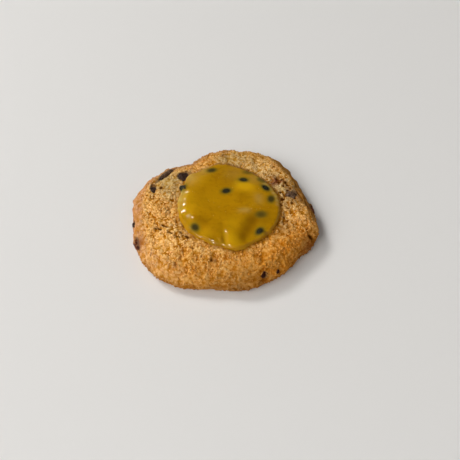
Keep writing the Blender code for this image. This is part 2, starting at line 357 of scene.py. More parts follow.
@dataclass
class Effects:
    """Shader node groups that more than one finish uses."""

    pore_softness: float = 2.5
    region_spacings: float = 3.0

    def __post_init__(self) -> None:
        """Builds the groups once."""
        self.mottle_group = self.build_mottle()
        self.pore_group = self.build_pores()

    @staticmethod
    def build_mottle() -> bpy.types.NodeTree:
        """Soft uneven patches: Mask runs from 0 to 1."""
        wiring, given, put = node_group(
            "mottle", {"Position": None, "Size": 5 * MM, "Contrast": 0.3}, {"Mask": "Float"}
        )
        patches = wiring.noise(given.outputs["Position"], given.outputs["Size"], detail=3.0)
        spread = wiring.math("DIVIDE", wiring.minus(patches, 0.5), given.outputs["Contrast"])
        wiring.feed(put.inputs["Mask"], wiring.plus(spread, 0.5, clamp=True))
        return wiring.tree

    def build_pores(self) -> bpy.types.NodeTree:
        """Scattered round dots of uneven size: Mask is 1 inside one."""
        wiring, given, put = node_group(
            "pores",
            {"Position": None, "Spacing": 2 * MM, "Radius": 0.2, "Share": 0.5},
            {"Mask": "Float"},
        )
        place, spacing, radius, share = given.outputs[:4]
        near = wiring.cells(place, spacing)
        hole = wiring.math("LESS_THAN", near, radius)
        inside = wiring.times(wiring.minus(radius, near), self.pore_softness)
        soft = wiring.math("DIVIDE", inside, radius)
        region = wiring.noise(place, wiring.times(spacing, self.region_spacings), detail=1.0)
        here = wiring.math("LESS_THAN", region, share)
        mask = wiring.times(wiring.times(hole, here), soft, clamp=True)
        wiring.feed(put.inputs["Mask"], mask)
        return wiring.tree

    def mottle(self, wiring: Wiring, place: Socket, size: float, contrast: float) -> Socket:
        """Places soft uneven patches in a material.

        Args:
            wiring: The material's wiring.
            place: The position.
            size: The patches' size, in metres.
            contrast: How softly the mask goes from 0 to 1.

        Returns:
            The mask.
        """
        inputs = {"Position": place, "Size": size, "Contrast": contrast}
        return wiring.node("ShaderNodeGroup", inputs, node_tree=self.mottle_group).outputs["Mask"]

    def pores(
        self, wiring: Wiring, place: Socket, spacing: float, radius: float, share: float
    ) -> Socket:
        """Places scattered round dots in a material.

        Args:
            wiring: The material's wiring.
            place: The position.
            spacing: How far apart they are, in metres.
            radius: Their radius, in spacings.
            share: How much of the surface has them.

        Returns:
            The mask.
        """
        inputs = {"Position": place, "Spacing": spacing, "Radius": radius, "Share": share}
        return wiring.node("ShaderNodeGroup", inputs, node_tree=self.pore_group).outputs["Mask"]


# ---- finishes -----------------------------------------------------------------------------


@dataclass(frozen=True)
class Finish:
    """A Principled BSDF material with constant values; a subclass wires its colour and relief."""

    name: str
    roughness: float = 0.5
    specular: float = 0.5
    subsurface: float = 0.0
    subsurface_reach: float = 1.0 * MM
    subsurface_radius: Color = (1.0, 0.45, 0.12)

    def build(self, effects: Effects) -> bpy.types.Material:
        """Makes the material.

        Args:
            effects: The shared node groups.

        Returns:
            The material.
        """
        material = bpy.data.materials.new(self.name)
        material.use_nodes = True
        shader = material.node_tree.nodes["Principled BSDF"]
        for label, value in (
            ("Roughness", self.roughness),
            ("Specular IOR Level", self.specular),
            ("Subsurface Weight", self.subsurface),
            ("Subsurface Radius", self.subsurface_radius),
            ("Subsurface Scale", self.subsurface_reach),
        ):
            shader.inputs[label].default_value = value
        wiring = Wiring(material.node_tree)
        place = wiring.node("ShaderNodeTexCoord").outputs["Object"]
        self.wire(wiring, shader, place, effects)
        return material

    def wire(self, wiring: Wiring, shader: bpy.types.Node, place: Socket, effects: Effects) -> None:
        """Joins the finish's own nodes to its shader.

        Args:
            wiring: The material's wiring.
            shader: Its Principled BSDF.
            place: The position on the object.
            effects: The shared node groups.
        """
        raise NotImplementedError


@dataclass(frozen=True)
class CrumbFinish(Finish):
    """Baked dough: light grains over browner hollows, partly painted highlight and shade by height,
    redder at the rim, pale by the curd, with painted shade in its cracks and pores.
    """

    golden: Color = (0.74, 0.385, 0.104)
    amber: Color = (0.70, 0.325, 0.058)
    rusty: Color = (0.60, 0.205, 0.024)
    cream: Color = (0.55, 0.360, 0.135)
    toasted: Color = (0.63, 0.225, 0.016)
    rim: Color = (0.60, 0.310, 0.155)
    fold: Color = (0.46, 0.170, 0.056)
    browned: Color = (0.31, 0.118, 0.026)
    dulled_and_shaded: Color = (0.30, 0.140, 0.040)
    stain: Color = (0.20, 0.050, 0.020)
    melted: Color = (0.130, 0.070, 0.042)
    crease: Color = (0.330, 0.120, 0.012)
    pit: Color = (0.085, 0.024, 0.001)
    pore: Color = (0.190, 0.062, 0.003)
    soaked_and_shadowed: Color = (0.27, 0.100, 0.003)
    light: Color = (0.90, 0.490, 0.150)
    # Tones by lightness: the darker end paints shade in the hollows and the lighter end a highlight
    # on the grains' tops.
    tones: tuple[Color, ...] = (
        (0.50, 0.31, 0.02),
        (0.81, 0.67, 0.24),
        (1.00, 0.98, 0.84),
        (1.14, 1.28, 1.52),
        (1.30, 1.65, 2.45),
    )
    amber_share: float = 0.6
    rusty_share: float = 0.55
    fold_share: float = 0.75
    grit_least: float = 0.20
    grit_more: float = 0.34
    calm_share: float = 0.8
    contrast: float = 0.9
    open_contrast: float = 0.3
    pores_least: float = 0.03
    pores_more: float = 0.75
    crease_reach: float = 1.5
    pit_span: Span = (0.20, 0.85)
    grain_size: float = 0.5 * MM
    pore_depth: float = 1.2
    bump_depth: float = 0.18 * MM

    def wire(self, wiring: Wiring, shader: bpy.types.Node, place: Socket, effects: Effects) -> None:
        """Joins the crumb's colour and fine relief; see the base class."""
        lightness = self.lightness(wiring, place, effects)
        color = self.baked(wiring, place, effects)
        color = wiring.blend(1.0, color, wiring.ramp(lightness, self.tones), "MULTIPLY")
        # Stain and melt are the crust's own colours; the last is a soaked tint with painted shadow
        # beside the curd.
        for name, tint in (("stain", self.stain), ("melt", self.melted), ("soak", self.soaked_and_shadowed)):
            color = wiring.blend(wiring.attribute(name), color, tint)
        marks = self.open_pores(wiring, place, effects)
        cavity = wiring.attribute("cavity")
        # Painted shade in the pores, cracks, pits and grooves.
        for strength, tint in (
            (marks, self.pore),
            (wiring.times(cavity, self.crease_reach, clamp=True), self.crease),
            (wiring.fade(cavity, *self.pit_span), self.pit),
        ):
            color = wiring.blend(strength, color, tint)
        wiring.feed(shader.inputs["Base Color"], color)
        fine = wiring.noise(place, self.grain_size, detail=3.0)
        height = wiring.minus(fine, wiring.times(marks, self.pore_depth))
        wiring.bump(shader, height, self.bump_depth)

    def baked(self, wiring: Wiring, place: Socket, effects: Effects) -> Socket:
        """The crust's colour, before the light and dark of its grains.

        Args:
            wiring: The material's wiring.
            place: The position on the object.
            effects: The shared node groups.

        Returns:
            The colour socket.
        """
        clouds = effects.mottle(wiring, place, size=6 * MM, contrast=0.32)
        color = wiring.blend(wiring.times(clouds, self.amber_share), self.golden, self.amber)
        few = wiring.fade(effects.mottle(wiring, place, size=2 * MM, contrast=0.16), 0.66, 1.0)
        color = wiring.blend(wiring.times(few, self.rusty_share), color, self.rusty)
        color = wiring.blend(wiring.attribute("pale"), color, self.cream)
        uneven = wiring.scaled(effects.mottle(wiring, place, size=3 * MM, contrast=0.4), 0.5, 0.5)
        rim = wiring.attribute("rim")
        streaks = wiring.vector("MULTIPLY", place, (1.0, 1.0, 3.0))
        folds = effects.mottle(wiring, streaks, size=4 * MM, contrast=0.25)
        for strength, tint in (
            # The light patches are partly paler crust and partly painted light.
            (wiring.attribute("light"), self.light),
            (wiring.times(wiring.attribute("toast"), uneven), self.toasted),
            (rim, self.rim),
            (wiring.times(rim, wiring.times(folds, self.fold_share)), self.fold),
            (wiring.attribute("dull"), self.dulled_and_shaded),
            (wiring.times(wiring.attribute("bake"), uneven), self.browned),
        ):
            color = wiring.blend(strength, color, tint)
        return color

    def lightness(self, wiring: Wiring, place: Socket, effects: Effects) -> Socket:
        """How light each place is: its height in the relief, which paints a highlight on the grains'
        tops and shade in the hollows between them, with grit where it isn't calm.

        Args:
            wiring: The material's wiring.
            place: The position on the object.
            effects: The shared node groups.

        Returns:
            The place along the run of tones.
        """
        grit = wiring.minus(effects.mottle(wiring, place, size=0.75 * MM, contrast=0.30), 0.5)
        patchy = effects.mottle(wiring, place, size=4.5 * MM, contrast=0.25)
        stray = wiring.times(grit, wiring.scaled(patchy, self.grit_more, self.grit_least))
        calm = wiring.scaled(wiring.attribute("calm"), -self.calm_share, 1.0)
        contrast = wiring.scaled(wiring.attribute("open"), self.open_contrast, self.contrast)
        spread = wiring.times(wiring.minus(wiring.attribute("relief"), 0.5), contrast)
        return wiring.plus(wiring.times(wiring.plus(spread, stray), calm), 0.5)

    def open_pores(self, wiring: Wiring, place: Socket, effects: Effects) -> Socket:
        """Dashes and dots of painted shade where the crumb is open.

        Args:
            wiring: The material's wiring.
            place: The position on the object.
            effects: The shared node groups.

        Returns:
            The mask.
        """
        long_way = wiring.vector("MULTIPLY", place, (0.5, 1.0, 1.0))
        dashes = effects.pores(wiring, long_way, spacing=2.1 * MM, radius=0.22, share=0.50)
        dots = effects.pores(wiring, place, spacing=2.6 * MM, radius=0.20, share=0.50)
        strength = wiring.scaled(wiring.attribute("open"), self.pores_more, self.pores_least)
        return wiring.times(wiring.most(dashes, dots), strength)


@dataclass(frozen=True)
class CurdFinish(Finish):
    """Passion fruit curd: deep amber yellow, wet, with dark soft spots over its seeds, painted light
    and shade, and a painted highlight at its edges.
    """

    amber: Color = (0.405, 0.187, 0.0010)
    bright: Color = (0.64, 0.345, 0.004)
    deep: Color = (0.22, 0.095, 0.0006)
    fleck: Color = (0.80, 0.58, 0.20)
    halo: Color = (0.130, 0.122, 0.012)
    dark: Color = (0.016, 0.018, 0.010)
    milky_and_highlight: Color = (0.62, 0.47, 0.15)
    cloud_share: float = 0.25
    streak_share: float = 0.18
    deep_share: float = 0.22
    fleck_share: float = 0.40
    wave_size: float = 3.0 * MM
    wave_depth: float = 0.12 * MM

    def wire(self, wiring: Wiring, shader: bpy.types.Node, place: Socket, effects: Effects) -> None:
        """Joins the curd's colour and faint surface waves; see the base class."""
        clouds = effects.mottle(wiring, place, size=8 * MM, contrast=0.45)
        color = wiring.blend(wiring.times(clouds, self.cloud_share), self.amber, self.bright)
        drawn_out = wiring.vector("MULTIPLY", place, (0.45, 1.3, 1.0))
        streaks = effects.mottle(wiring, drawn_out, size=2.4 * MM, contrast=0.3)
        few = wiring.fade(effects.mottle(wiring, place, size=2.6 * MM, contrast=0.22), 0.62, 1.0)
        flecks = effects.pores(wiring, place, spacing=2.4 * MM, radius=0.13, share=0.46)
        for strength, tint in (
            (wiring.times(streaks, self.streak_share), self.bright),
            (wiring.times(few, self.deep_share), self.deep),
            (wiring.times(flecks, self.fleck_share), self.fleck),
            # Painted light, painted shade, then the milky tone with painted highlight, then the
            # seeds.
            (wiring.attribute("glow"), self.bright),
            (wiring.attribute("shade"), self.deep),
            (wiring.attribute("milk"), self.milky_and_highlight),
            (wiring.attribute("halo"), self.halo),
            (wiring.attribute("seed"), self.dark),
        ):
            color = wiring.blend(strength, color, tint)
        wiring.feed(shader.inputs["Base Color"], color)
        wiring.bump(shader, wiring.noise(place, self.wave_size, detail=2.0), self.wave_depth)


@dataclass(frozen=True)
class SeedFinish(Finish):
    """Near-black seed, wet."""

    dark: Color = (0.012, 0.012, 0.007)
    light: Color = (0.045, 0.043, 0.020)
    dimple_size: float = 0.5 * MM
    dimple_depth: float = 0.10 * MM

    def wire(self, wiring: Wiring, shader: bpy.types.Node, place: Socket, effects: Effects) -> None:
        """Joins the seed's colour and its dimples; see the base class."""
        spots = effects.mottle(wiring, place, size=0.8 * MM, contrast=0.4)
        wiring.feed(shader.inputs["Base Color"], wiring.blend(spots, self.dark, self.light))
        wiring.bump(shader, wiring.cells(place, self.dimple_size, 0.5), self.dimple_depth)


@dataclass(frozen=True)
class ChocolateFinish(Finish):
    """Dark chocolate that has been baked: purple-brown, dull where it melted, with fine pores."""

    dark: Color = (0.020, 0.008, 0.005)
    brown: Color = (0.085, 0.040, 0.028)
    bloom: Color = (0.150, 0.098, 0.075)
    dust: float = 0.7
    grain_size: float = 0.7 * MM
    bump_depth: float = 0.18 * MM

    def wire(self, wiring: Wiring, shader: bpy.types.Node, place: Socket, effects: Effects) -> None:
        """Joins the chocolate's colour and relief; see the base class."""
        patches = effects.mottle(wiring, place, size=2.2 * MM, contrast=0.35)
        color = wiring.blend(patches, self.dark, self.brown)
        dusty = wiring.fade(effects.mottle(wiring, place, size=1.2 * MM, contrast=0.22), 0.45, 1.0)
        color = wiring.blend(wiring.times(dusty, self.dust), color, self.bloom)
        pores = effects.pores(wiring, place, spacing=1.1 * MM, radius=0.22, share=0.6)
        color = wiring.blend(pores, color, self.dark)
        wiring.feed(shader.inputs["Base Color"], color)
        grain = wiring.noise(place, self.grain_size, detail=3.0)
        wiring.bump(shader, wiring.minus(grain, pores), self.bump_depth)


class Look(Enum):
    """How baked a piece of chocolate looks."""

    PLAIN = "plain"
    DUSTY = "dusty"
    REDDISH = "reddish"
    SCORCHED = "scorched"


CHOCOLATE_FINISHES = {
    Look.PLAIN: ChocolateFinish(
        "dark_chocolate", roughness=0.5, specular=0.08, brown=(0.055, 0.026, 0.015), dust=0.3
    ),
    Look.DUSTY: ChocolateFinish(
        "dark_chocolate_dusty",
        roughness=0.6,
        specular=0.1,
        dark=(0.022, 0.009, 0.004),
        brown=(0.135, 0.072, 0.036),
        bloom=(0.185, 0.110, 0.068),
        dust=0.9,
    ),
    Look.REDDISH: ChocolateFinish(
        "dark_chocolate_reddish",
        roughness=0.45,
        specular=0.08,
        dark=(0.035, 0.007, 0.003),
        brown=(0.145, 0.028, 0.006),
        bloom=(0.200, 0.062, 0.020),
        dust=0.4,
    ),
    Look.SCORCHED: ChocolateFinish(
        "dark_chocolate_scorched",
        roughness=0.45,
        specular=0.06,
        dark=(0.020, 0.003, 0.001),
        brown=(0.060, 0.012, 0.003),
        dust=0.0,
    ),
}

CHUNK_LOOKS = {
    "chocolate_chunk_1": Look.DUSTY,
    "chocolate_chunk_5": Look.REDDISH,
    "chocolate_chunk_6": Look.SCORCHED,
    "chocolate_chunk_7": Look.SCORCHED,
    "chocolate_chunk_8": Look.DUSTY,
    "chocolate_chunk_9": Look.REDDISH,
}


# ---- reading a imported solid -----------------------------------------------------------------


def smooth_step(low: float, high: float, value: np.ndarray) -> np.ndarray:
    """0 below low, 1 above high, and a smooth change between."""
    share = np.clip((value - low) / (high - low), 0.0, 1.0)
    return share * share * (3.0 - 2.0 * share)


def joined_tree(solids: list[bpy.types.Object]) -> BVHTree:
    """The triangles of several solids, ready for rays.

    Args:
        solids: Objects whose meshes are in place.

    Returns:
        One tree for all of them.
    """
    points: list[Vector] = []
    faces: list[tuple[int, ...]] = []
    for solid in solids:
        first = len(points)
        points += [v.co.copy() for v in solid.data.vertices]
        faces += [tuple(first + i for i in p.vertices) for p in solid.data.polygons]
    return BVHTree.FromPolygons(points, faces)


@dataclass
class PolarGrid:
    """A closed skin of points: directions round the middle by rings from pole to pole."""

    points: np.ndarray
    tilt: np.ndarray

    def radii(self) -> np.ndarray:
        """Mean distance of each ring from the middle."""
        middle = self.points[:, 0, :2].mean(axis=0)
        flat = self.points[..., :2] - middle
        return np.hypot(flat[..., 0], flat[..., 1]).mean(axis=0)

    def steps(self) -> np.ndarray:
        """Mean distance from each ring to the next."""
        return np.linalg.norm(np.diff(self.points, axis=1), axis=2).mean(axis=0)

    def soften(self, values: np.ndarray, reach: np.ndarray) -> np.ndarray:
        """Blurs a value round its rings and across them.

        Args:
            values: The value at each point.
            reach: The blur's standard deviation on each ring, in metres.

        Returns:
            The blurred values.
        """
        count = values.shape[0]
        waves = np.fft.rfftfreq(count, 1.0 / count)
        turn = reach / np.maximum(self.radii(), reach)
        keep = np.exp(-0.5 * (waves[:, None] * turn[None, :]) ** 2)
        round_ring = np.fft.irfft(np.fft.rfft(values, axis=0) * keep, n=count, axis=0)
        place = np.concatenate([[0.0], np.cumsum(self.steps())])
        gap = place[:, None] - place[None, :]
        weight = np.exp(-0.5 * (gap / reach[:, None]) ** 2)
        weight /= weight.sum(axis=1, keepdims=True)
        return round_ring @ weight.T

    def normals(self) -> np.ndarray:
        """The outward direction at each point."""
        around = np.roll(self.points, -1, axis=0) - np.roll(self.points, 1, axis=0)
        along = np.gradient(self.points, axis=1)
        normal = np.cross(along, around)
        return normal / np.maximum(np.linalg.norm(normal, axis=2, keepdims=True), 1e-12)

    def push(self, height: np.ndarray) -> None:
        """Moves each point outwards by its height."""
        self.points = self.points + self.normals() * height[..., None]

    def level(self) -> np.ndarray:
        """Each point's ray angle above the horizontal, from pi/2 on the top to -pi/2 below."""
        return np.broadcast_to(self.tilt, self.points.shape[:2])


@dataclass
class SolidRays:
    """Reads a flat round solid as a grid of points, by rays from a level inside it.

    The rays rise along the top, fan out over the rim, and fall along the underside. Where blocks
    are set in the solid, its skin closes over their pockets, a tuck below the blocks' faces.
    """

    solid: bpy.types.Object
    level: float
    inset: float
    segments: int
    blocks: list[bpy.types.Object] = field(default_factory=list)
    tuck: float = 0.45 * MM
    dent_size: float = 3 * MM
    block_depth: float = 2 * MM
    block_softness: float = 0.8 * MM
    block_share: float = 0.15
    centre: Vector = field(default_factory=lambda: Vector((0.0, 0.0, 0.0)))
    innermost: float = 0.01
    coarse_rings: int = 8
    coarse_to: float = 0.56
    fine_rings: int = 54
    upper_fan: int = 38
    lower_fan: int = 20
    base_rings: int = 9
    top_reach: float = 0.9 * MM
    rim_reach: float = 0.9 * MM
    blend_rings: int = 5
    far: float = 0.2

    def blend_window(self) -> np.ndarray:
        """The even weights that carry one ring's softness over to the next."""
        count = 2 * self.blend_rings + 1
        return np.full(count, 1.0 / count)

    def outline(self, tree: BVHTree, angles: np.ndarray) -> np.ndarray:
        """The solid's radius at the level, in each direction.

        Args:
            tree: The solid's triangles.
            angles: The directions, in radians.

        Returns:
            One radius for each direction, without the narrow dents.
        """
        start = Vector((self.centre.x, self.centre.y, self.level))
        radii = []
        for angle in angles:
            out = Vector((math.cos(angle), math.sin(angle), 0.0))
            hit = tree.ray_cast(start + out * self.far, -out)
            radii.append((hit[0] - start).length)
        waves = np.fft.rfftfreq(len(angles), 1.0 / len(angles))
        keep = np.exp(-0.5 * (waves * self.dent_size / np.mean(radii)) ** 2)
        return np.fft.irfft(np.fft.rfft(np.array(radii)) * keep, n=len(angles))

    def shares(self) -> tuple[np.ndarray, np.ndarray]:
        """For each ring, its share of the inner radius and its ray's angle above the level."""
        inner = np.linspace(0.0, self.coarse_to, self.coarse_rings + 1)[:-1]
        inner[0] = self.innermost
        outer = np.linspace(self.coarse_to, 1.0, self.fine_rings)
        up = np.linspace(math.pi / 2, 0.0, self.upper_fan + 1)[1:]
        down = np.linspace(0.0, -math.pi / 2, self.lower_fan + 1)[1:]
        back = np.linspace(1.0, self.innermost, self.base_rings)[1:]
        top = np.concatenate([inner, outer])
        share = np.concatenate([top, np.ones(len(up) + len(down)), back])
        tilt = np.concatenate(
            [np.full(len(top), math.pi / 2), up, down, np.full(len(back), -math.pi / 2)]
        )
        return share, tilt

    def cast(self) -> tuple[PolarGrid, np.ndarray]:
        """Casts every ray and softens the facets away.

        Returns:
            The grid, and how much each point lies over a block, from 0 to 1.
        """
        tree = joined_tree([self.solid])
        blocks = joined_tree(self.blocks) if self.blocks else None
        angles = np.arange(self.segments) * 2 * math.pi / self.segments
        inner = self.outline(tree, angles) - self.inset
        share, tilt = self.shares()
        reached = np.zeros((self.segments, len(share)))
        over = np.zeros_like(reached)
        starts = np.zeros((self.segments, len(share), 3))
        rays = np.zeros_like(starts)
        for row, angle in enumerate(angles):
            out = np.array([math.cos(angle), math.sin(angle), 0.0])
            for column, (part, lift) in enumerate(zip(share, tilt)):
                start = np.array(self.centre) + out * part * inner[row]
                start[2] = self.level
                ray = out * math.cos(lift) + np.array([0.0, 0.0, math.sin(lift)])
                hit = tree.ray_cast(Vector(start), Vector(ray))
                starts[row, column], rays[row, column] = start, ray
                reached[row, column] = hit[3] if hit[3] is not None else reached[row, column - 1]
                if blocks:
                    back = blocks.ray_cast(Vector(start + ray * self.far), Vector(-ray), self.far)
                    over[row, column] = self.far - back[3] if back[3] is not None else 0.0
        grid = PolarGrid(starts + rays * reached[..., None], tilt)
        rim = np.abs(tilt) < math.pi / 2 - 1e-6
        reach = np.where(rim, self.rim_reach, self.top_reach)
        reach = np.convolve(np.pad(reach, self.blend_rings, "edge"), self.blend_window(), "valid")
        on_block = (over > reached - self.block_depth) & (over > 0)
        softness = np.full(len(tilt), self.block_softness)
        nearness = grid.soften(on_block.astype(float), softness)
        spread = grid.soften(np.where(on_block, over, 0.0), softness)
        near = nearness > self.block_share
        cover = spread / np.where(near, nearness, 1.0) - self.tuck
        reached = np.where(near, np.maximum(reached, cover), reached)
        grid.points = starts + rays * grid.soften(reached, reach)[..., None]
        return grid, np.clip(nearness, 0.0, 1.0)


def grid_mesh(name: str, grid: PolarGrid, numbers: dict[str, np.ndarray]) -> bpy.types.Mesh:
    """A closed mesh from a grid, with a pole at each end.

    Args:
        name: The mesh's name.
        grid: The points.
        numbers: A value for each point, for each named attribute.

    Returns:
        The mesh.
    """
    points = grid.points
    segments, rings = points.shape[:2]
    top, bottom = points[:, 0].mean(axis=0), points[:, -1].mean(axis=0)
    vertices = np.vstack([points.reshape(-1, 3), top, bottom])
    index = np.arange(segments * rings).reshape(segments, rings)
    after = np.roll(index, -1, axis=0)
    quads = np.stack([index[:, :-1], index[:, 1:], after[:, 1:], after[:, :-1]], axis=-1)
    top_index, bottom_index = segments * rings, segments * rings + 1
    faces = quads.reshape(-1, 4).tolist()
    faces += [(top_index, int(a), int(b)) for a, b in zip(index[:, 0], after[:, 0])]
    faces += [(bottom_index, int(b), int(a)) for a, b in zip(index[:, -1], after[:, -1])]
    mesh = bpy.data.meshes.new(name)
    mesh.from_pydata(vertices.tolist(), [], faces)
    for label, values in numbers.items():
        ends = [values[:, 0].mean(), values[:, -1].mean()]
        layer = mesh.attributes.new(label, "FLOAT", "POINT")
        layer.data.foreach_set("value", np.append(values.reshape(-1), ends).astype(np.float32))
    mesh.shade_smooth()
    return mesh


def add_object(name: str, mesh: bpy.types.Mesh) -> bpy.types.Object:
    """Links a mesh as a named object at the origin."""
    obj = bpy.data.objects.new(name, mesh)
    bpy.context.scene.collection.objects.link(obj)
    return obj


def made_plain(obj: bpy.types.Object) -> bpy.types.Object:
    """Replaces an object's mesh by its evaluated one and removes its modifiers.

    Args:
        obj: The object.

    Returns:
        The same object.
    """
    graph = bpy.context.evaluated_depsgraph_get()
    mesh = bpy.data.meshes.new_from_object(
        obj.evaluated_get(graph), preserve_all_data_layers=True, depsgraph=graph
    )
    obj.modifiers.clear()
    old = obj.data
    obj.data = mesh
    mesh.name = old.name + "_made"
    return obj


def spread_evenly(mesh: bpy.types.Mesh, label: str) -> None:
    """Replaces a number on the points by its rank, spread evenly from 0 to 1.

    Args:
        mesh: The mesh.
        label: The attribute's name.
    """
    layer = mesh.attributes[label].data
    values = np.empty(len(layer), dtype=np.float32)
    layer.foreach_get("value", values)
    ranks = np.empty(len(values), dtype=np.float32)
    ranks[values.argsort()] = np.linspace(0.0, 1.0, len(values), dtype=np.float32)
    layer.foreach_set("value", ranks)


def keep_above_floor(mesh: bpy.types.Mesh) -> None:
    """Raises any point below the underside to its level."""
    for vertex in mesh.vertices:
        vertex.co.z = max(vertex.co.z, 0.0)


def rough(points: np.ndarray, size: float, seed: float) -> np.ndarray:
    """Smooth noise from about -1 to 1 at each point.

    Args:
        points: Places, with their three coordinates last.
        size: The size of its features, in metres.
        seed: Tells one use from another.

    Returns:
        The values.
    """
    shift = Vector((seed, 0.0, 0.0))
    flat = points.reshape(-1, 3) / size
    values = [noise.noise(Vector(p) + shift) for p in flat]
    return np.array(values).reshape(points.shape[:-1])


def turned(
    points: np.ndarray, x: float, y: float, heading: float
) -> tuple[np.ndarray, np.ndarray]:
    """How far points are from a place, along a heading and across it, seen from above.

    Args:
        points: The points, in metres.
        x: The place, in millimetres.
        y: The same.
        heading: The direction from +X, in degrees.

    Returns:
        The two offsets of each point, in millimetres.
    """
    turn = math.radians(heading)
    dx, dy = points[..., 0] / MM - x, points[..., 1] / MM - y
    along = dx * math.cos(turn) + dy * math.sin(turn)
    across = dy * math.cos(turn) - dx * math.sin(turn)
    return along, across


@dataclass(frozen=True)
class Patch:
    """A soft round region of the surface, seen from above."""

    x: float
    y: float
    reach: float
    strength: float = 1.0

    def over(self, points: np.ndarray) -> np.ndarray:
        """Its strength at each point, fading outwards."""
        off = np.hypot(points[..., 0] / MM - self.x, points[..., 1] / MM - self.y) / self.reach
        return self.strength * np.exp(-0.5 * off**2)


GROOVE_REACH = 0.85  # where a groove has died away to 1/e, in widths
MOSTLY_LEVEL = (1.0, 1.0, 0.3)  # the weights of x, y and z when a place is sought on the surface


@dataclass(frozen=True)
class Groove:
    """A crack, pit or furrow between two points of the surface, all in millimetres."""

    start: tuple[float, float, float]
    end: tuple[float, float, float]
    width: float
    depth: float
    # How much painted shade darkens it, from 0 to 1.
    dark: float = 1.0

    def over(self, points: np.ndarray) -> np.ndarray:
        """How near each point is to its line, from 0 to 1 on it."""
        a, b = np.array(self.start), np.array(self.end)
        run = b - a
        place = points / MM - a
        share = np.clip(place @ run / max(run @ run, 1e-9), 0.0, 1.0)
        off = np.linalg.norm(place - share[..., None] * run, axis=-1)
        return np.exp(-((off / (GROOVE_REACH * self.width)) ** 2))

    def laid_on(self, points: np.ndarray) -> Groove:
        """The same groove with its ends moved to the nearest points of the surface."""
        flat = points.reshape(-1, 3) / MM
        ends = []
        for end in (self.start, self.end):
            off = (flat - end) * MOSTLY_LEVEL
            ends.append(tuple(flat[(off**2).sum(axis=1).argmin()]))
        return replace(self, start=ends[0], end=ends[1])


def pits(*rows: tuple[float, ...]) -> tuple[Groove, ...]:
    """Round pits, each a row of its x, y, z, width, depth and, unless it is 1, darkness."""
    return tuple(Groove(row[:3], row[:3], *row[3:]) for row in rows)


def furrow(
    width: float, depth: float, dark: float, *places: tuple[float, float, float]
) -> tuple[Groove, ...]:
    """A bent furrow through several places."""
    return tuple(Groove(a, b, width, depth, dark) for a, b in zip(places, places[1:]))


@dataclass(frozen=True)
class Opening:
    """An egg-shaped place, in millimetres, where chocolate shows through the crust."""

    x: float
    y: float
    z: float
    heading: float
    length: float
    width: float
    height: float = 9.0
    smear: float = 1.5
    sink: float = 0.5

    def off(self, points: np.ndarray) -> np.ndarray:
        """How far each point is from its middle, as a share of its half size."""
        along, across = turned(points, self.x, self.y, self.heading)
        up = (points[..., 2] / MM - self.z) / self.height
        return np.sqrt((along / self.length) ** 2 + (across / self.width) ** 2 + up**2)


def patches(*rows: tuple[float, ...]) -> tuple[Patch, ...]:
    """Patches, each a row of its x, y, reach and strength."""
    return tuple(Patch(*row) for row in rows)


def summed(group: tuple[Patch, ...], points: np.ndarray) -> np.ndarray:
    """A group of patches' joint strength at each point, from 0 to 1."""
    total = sum((patch.over(points) for patch in group), np.zeros(points.shape[:-1]))
    return np.clip(total, 0.0, 1.0)


# ---- the dough ------------------------------------------------------------------------------


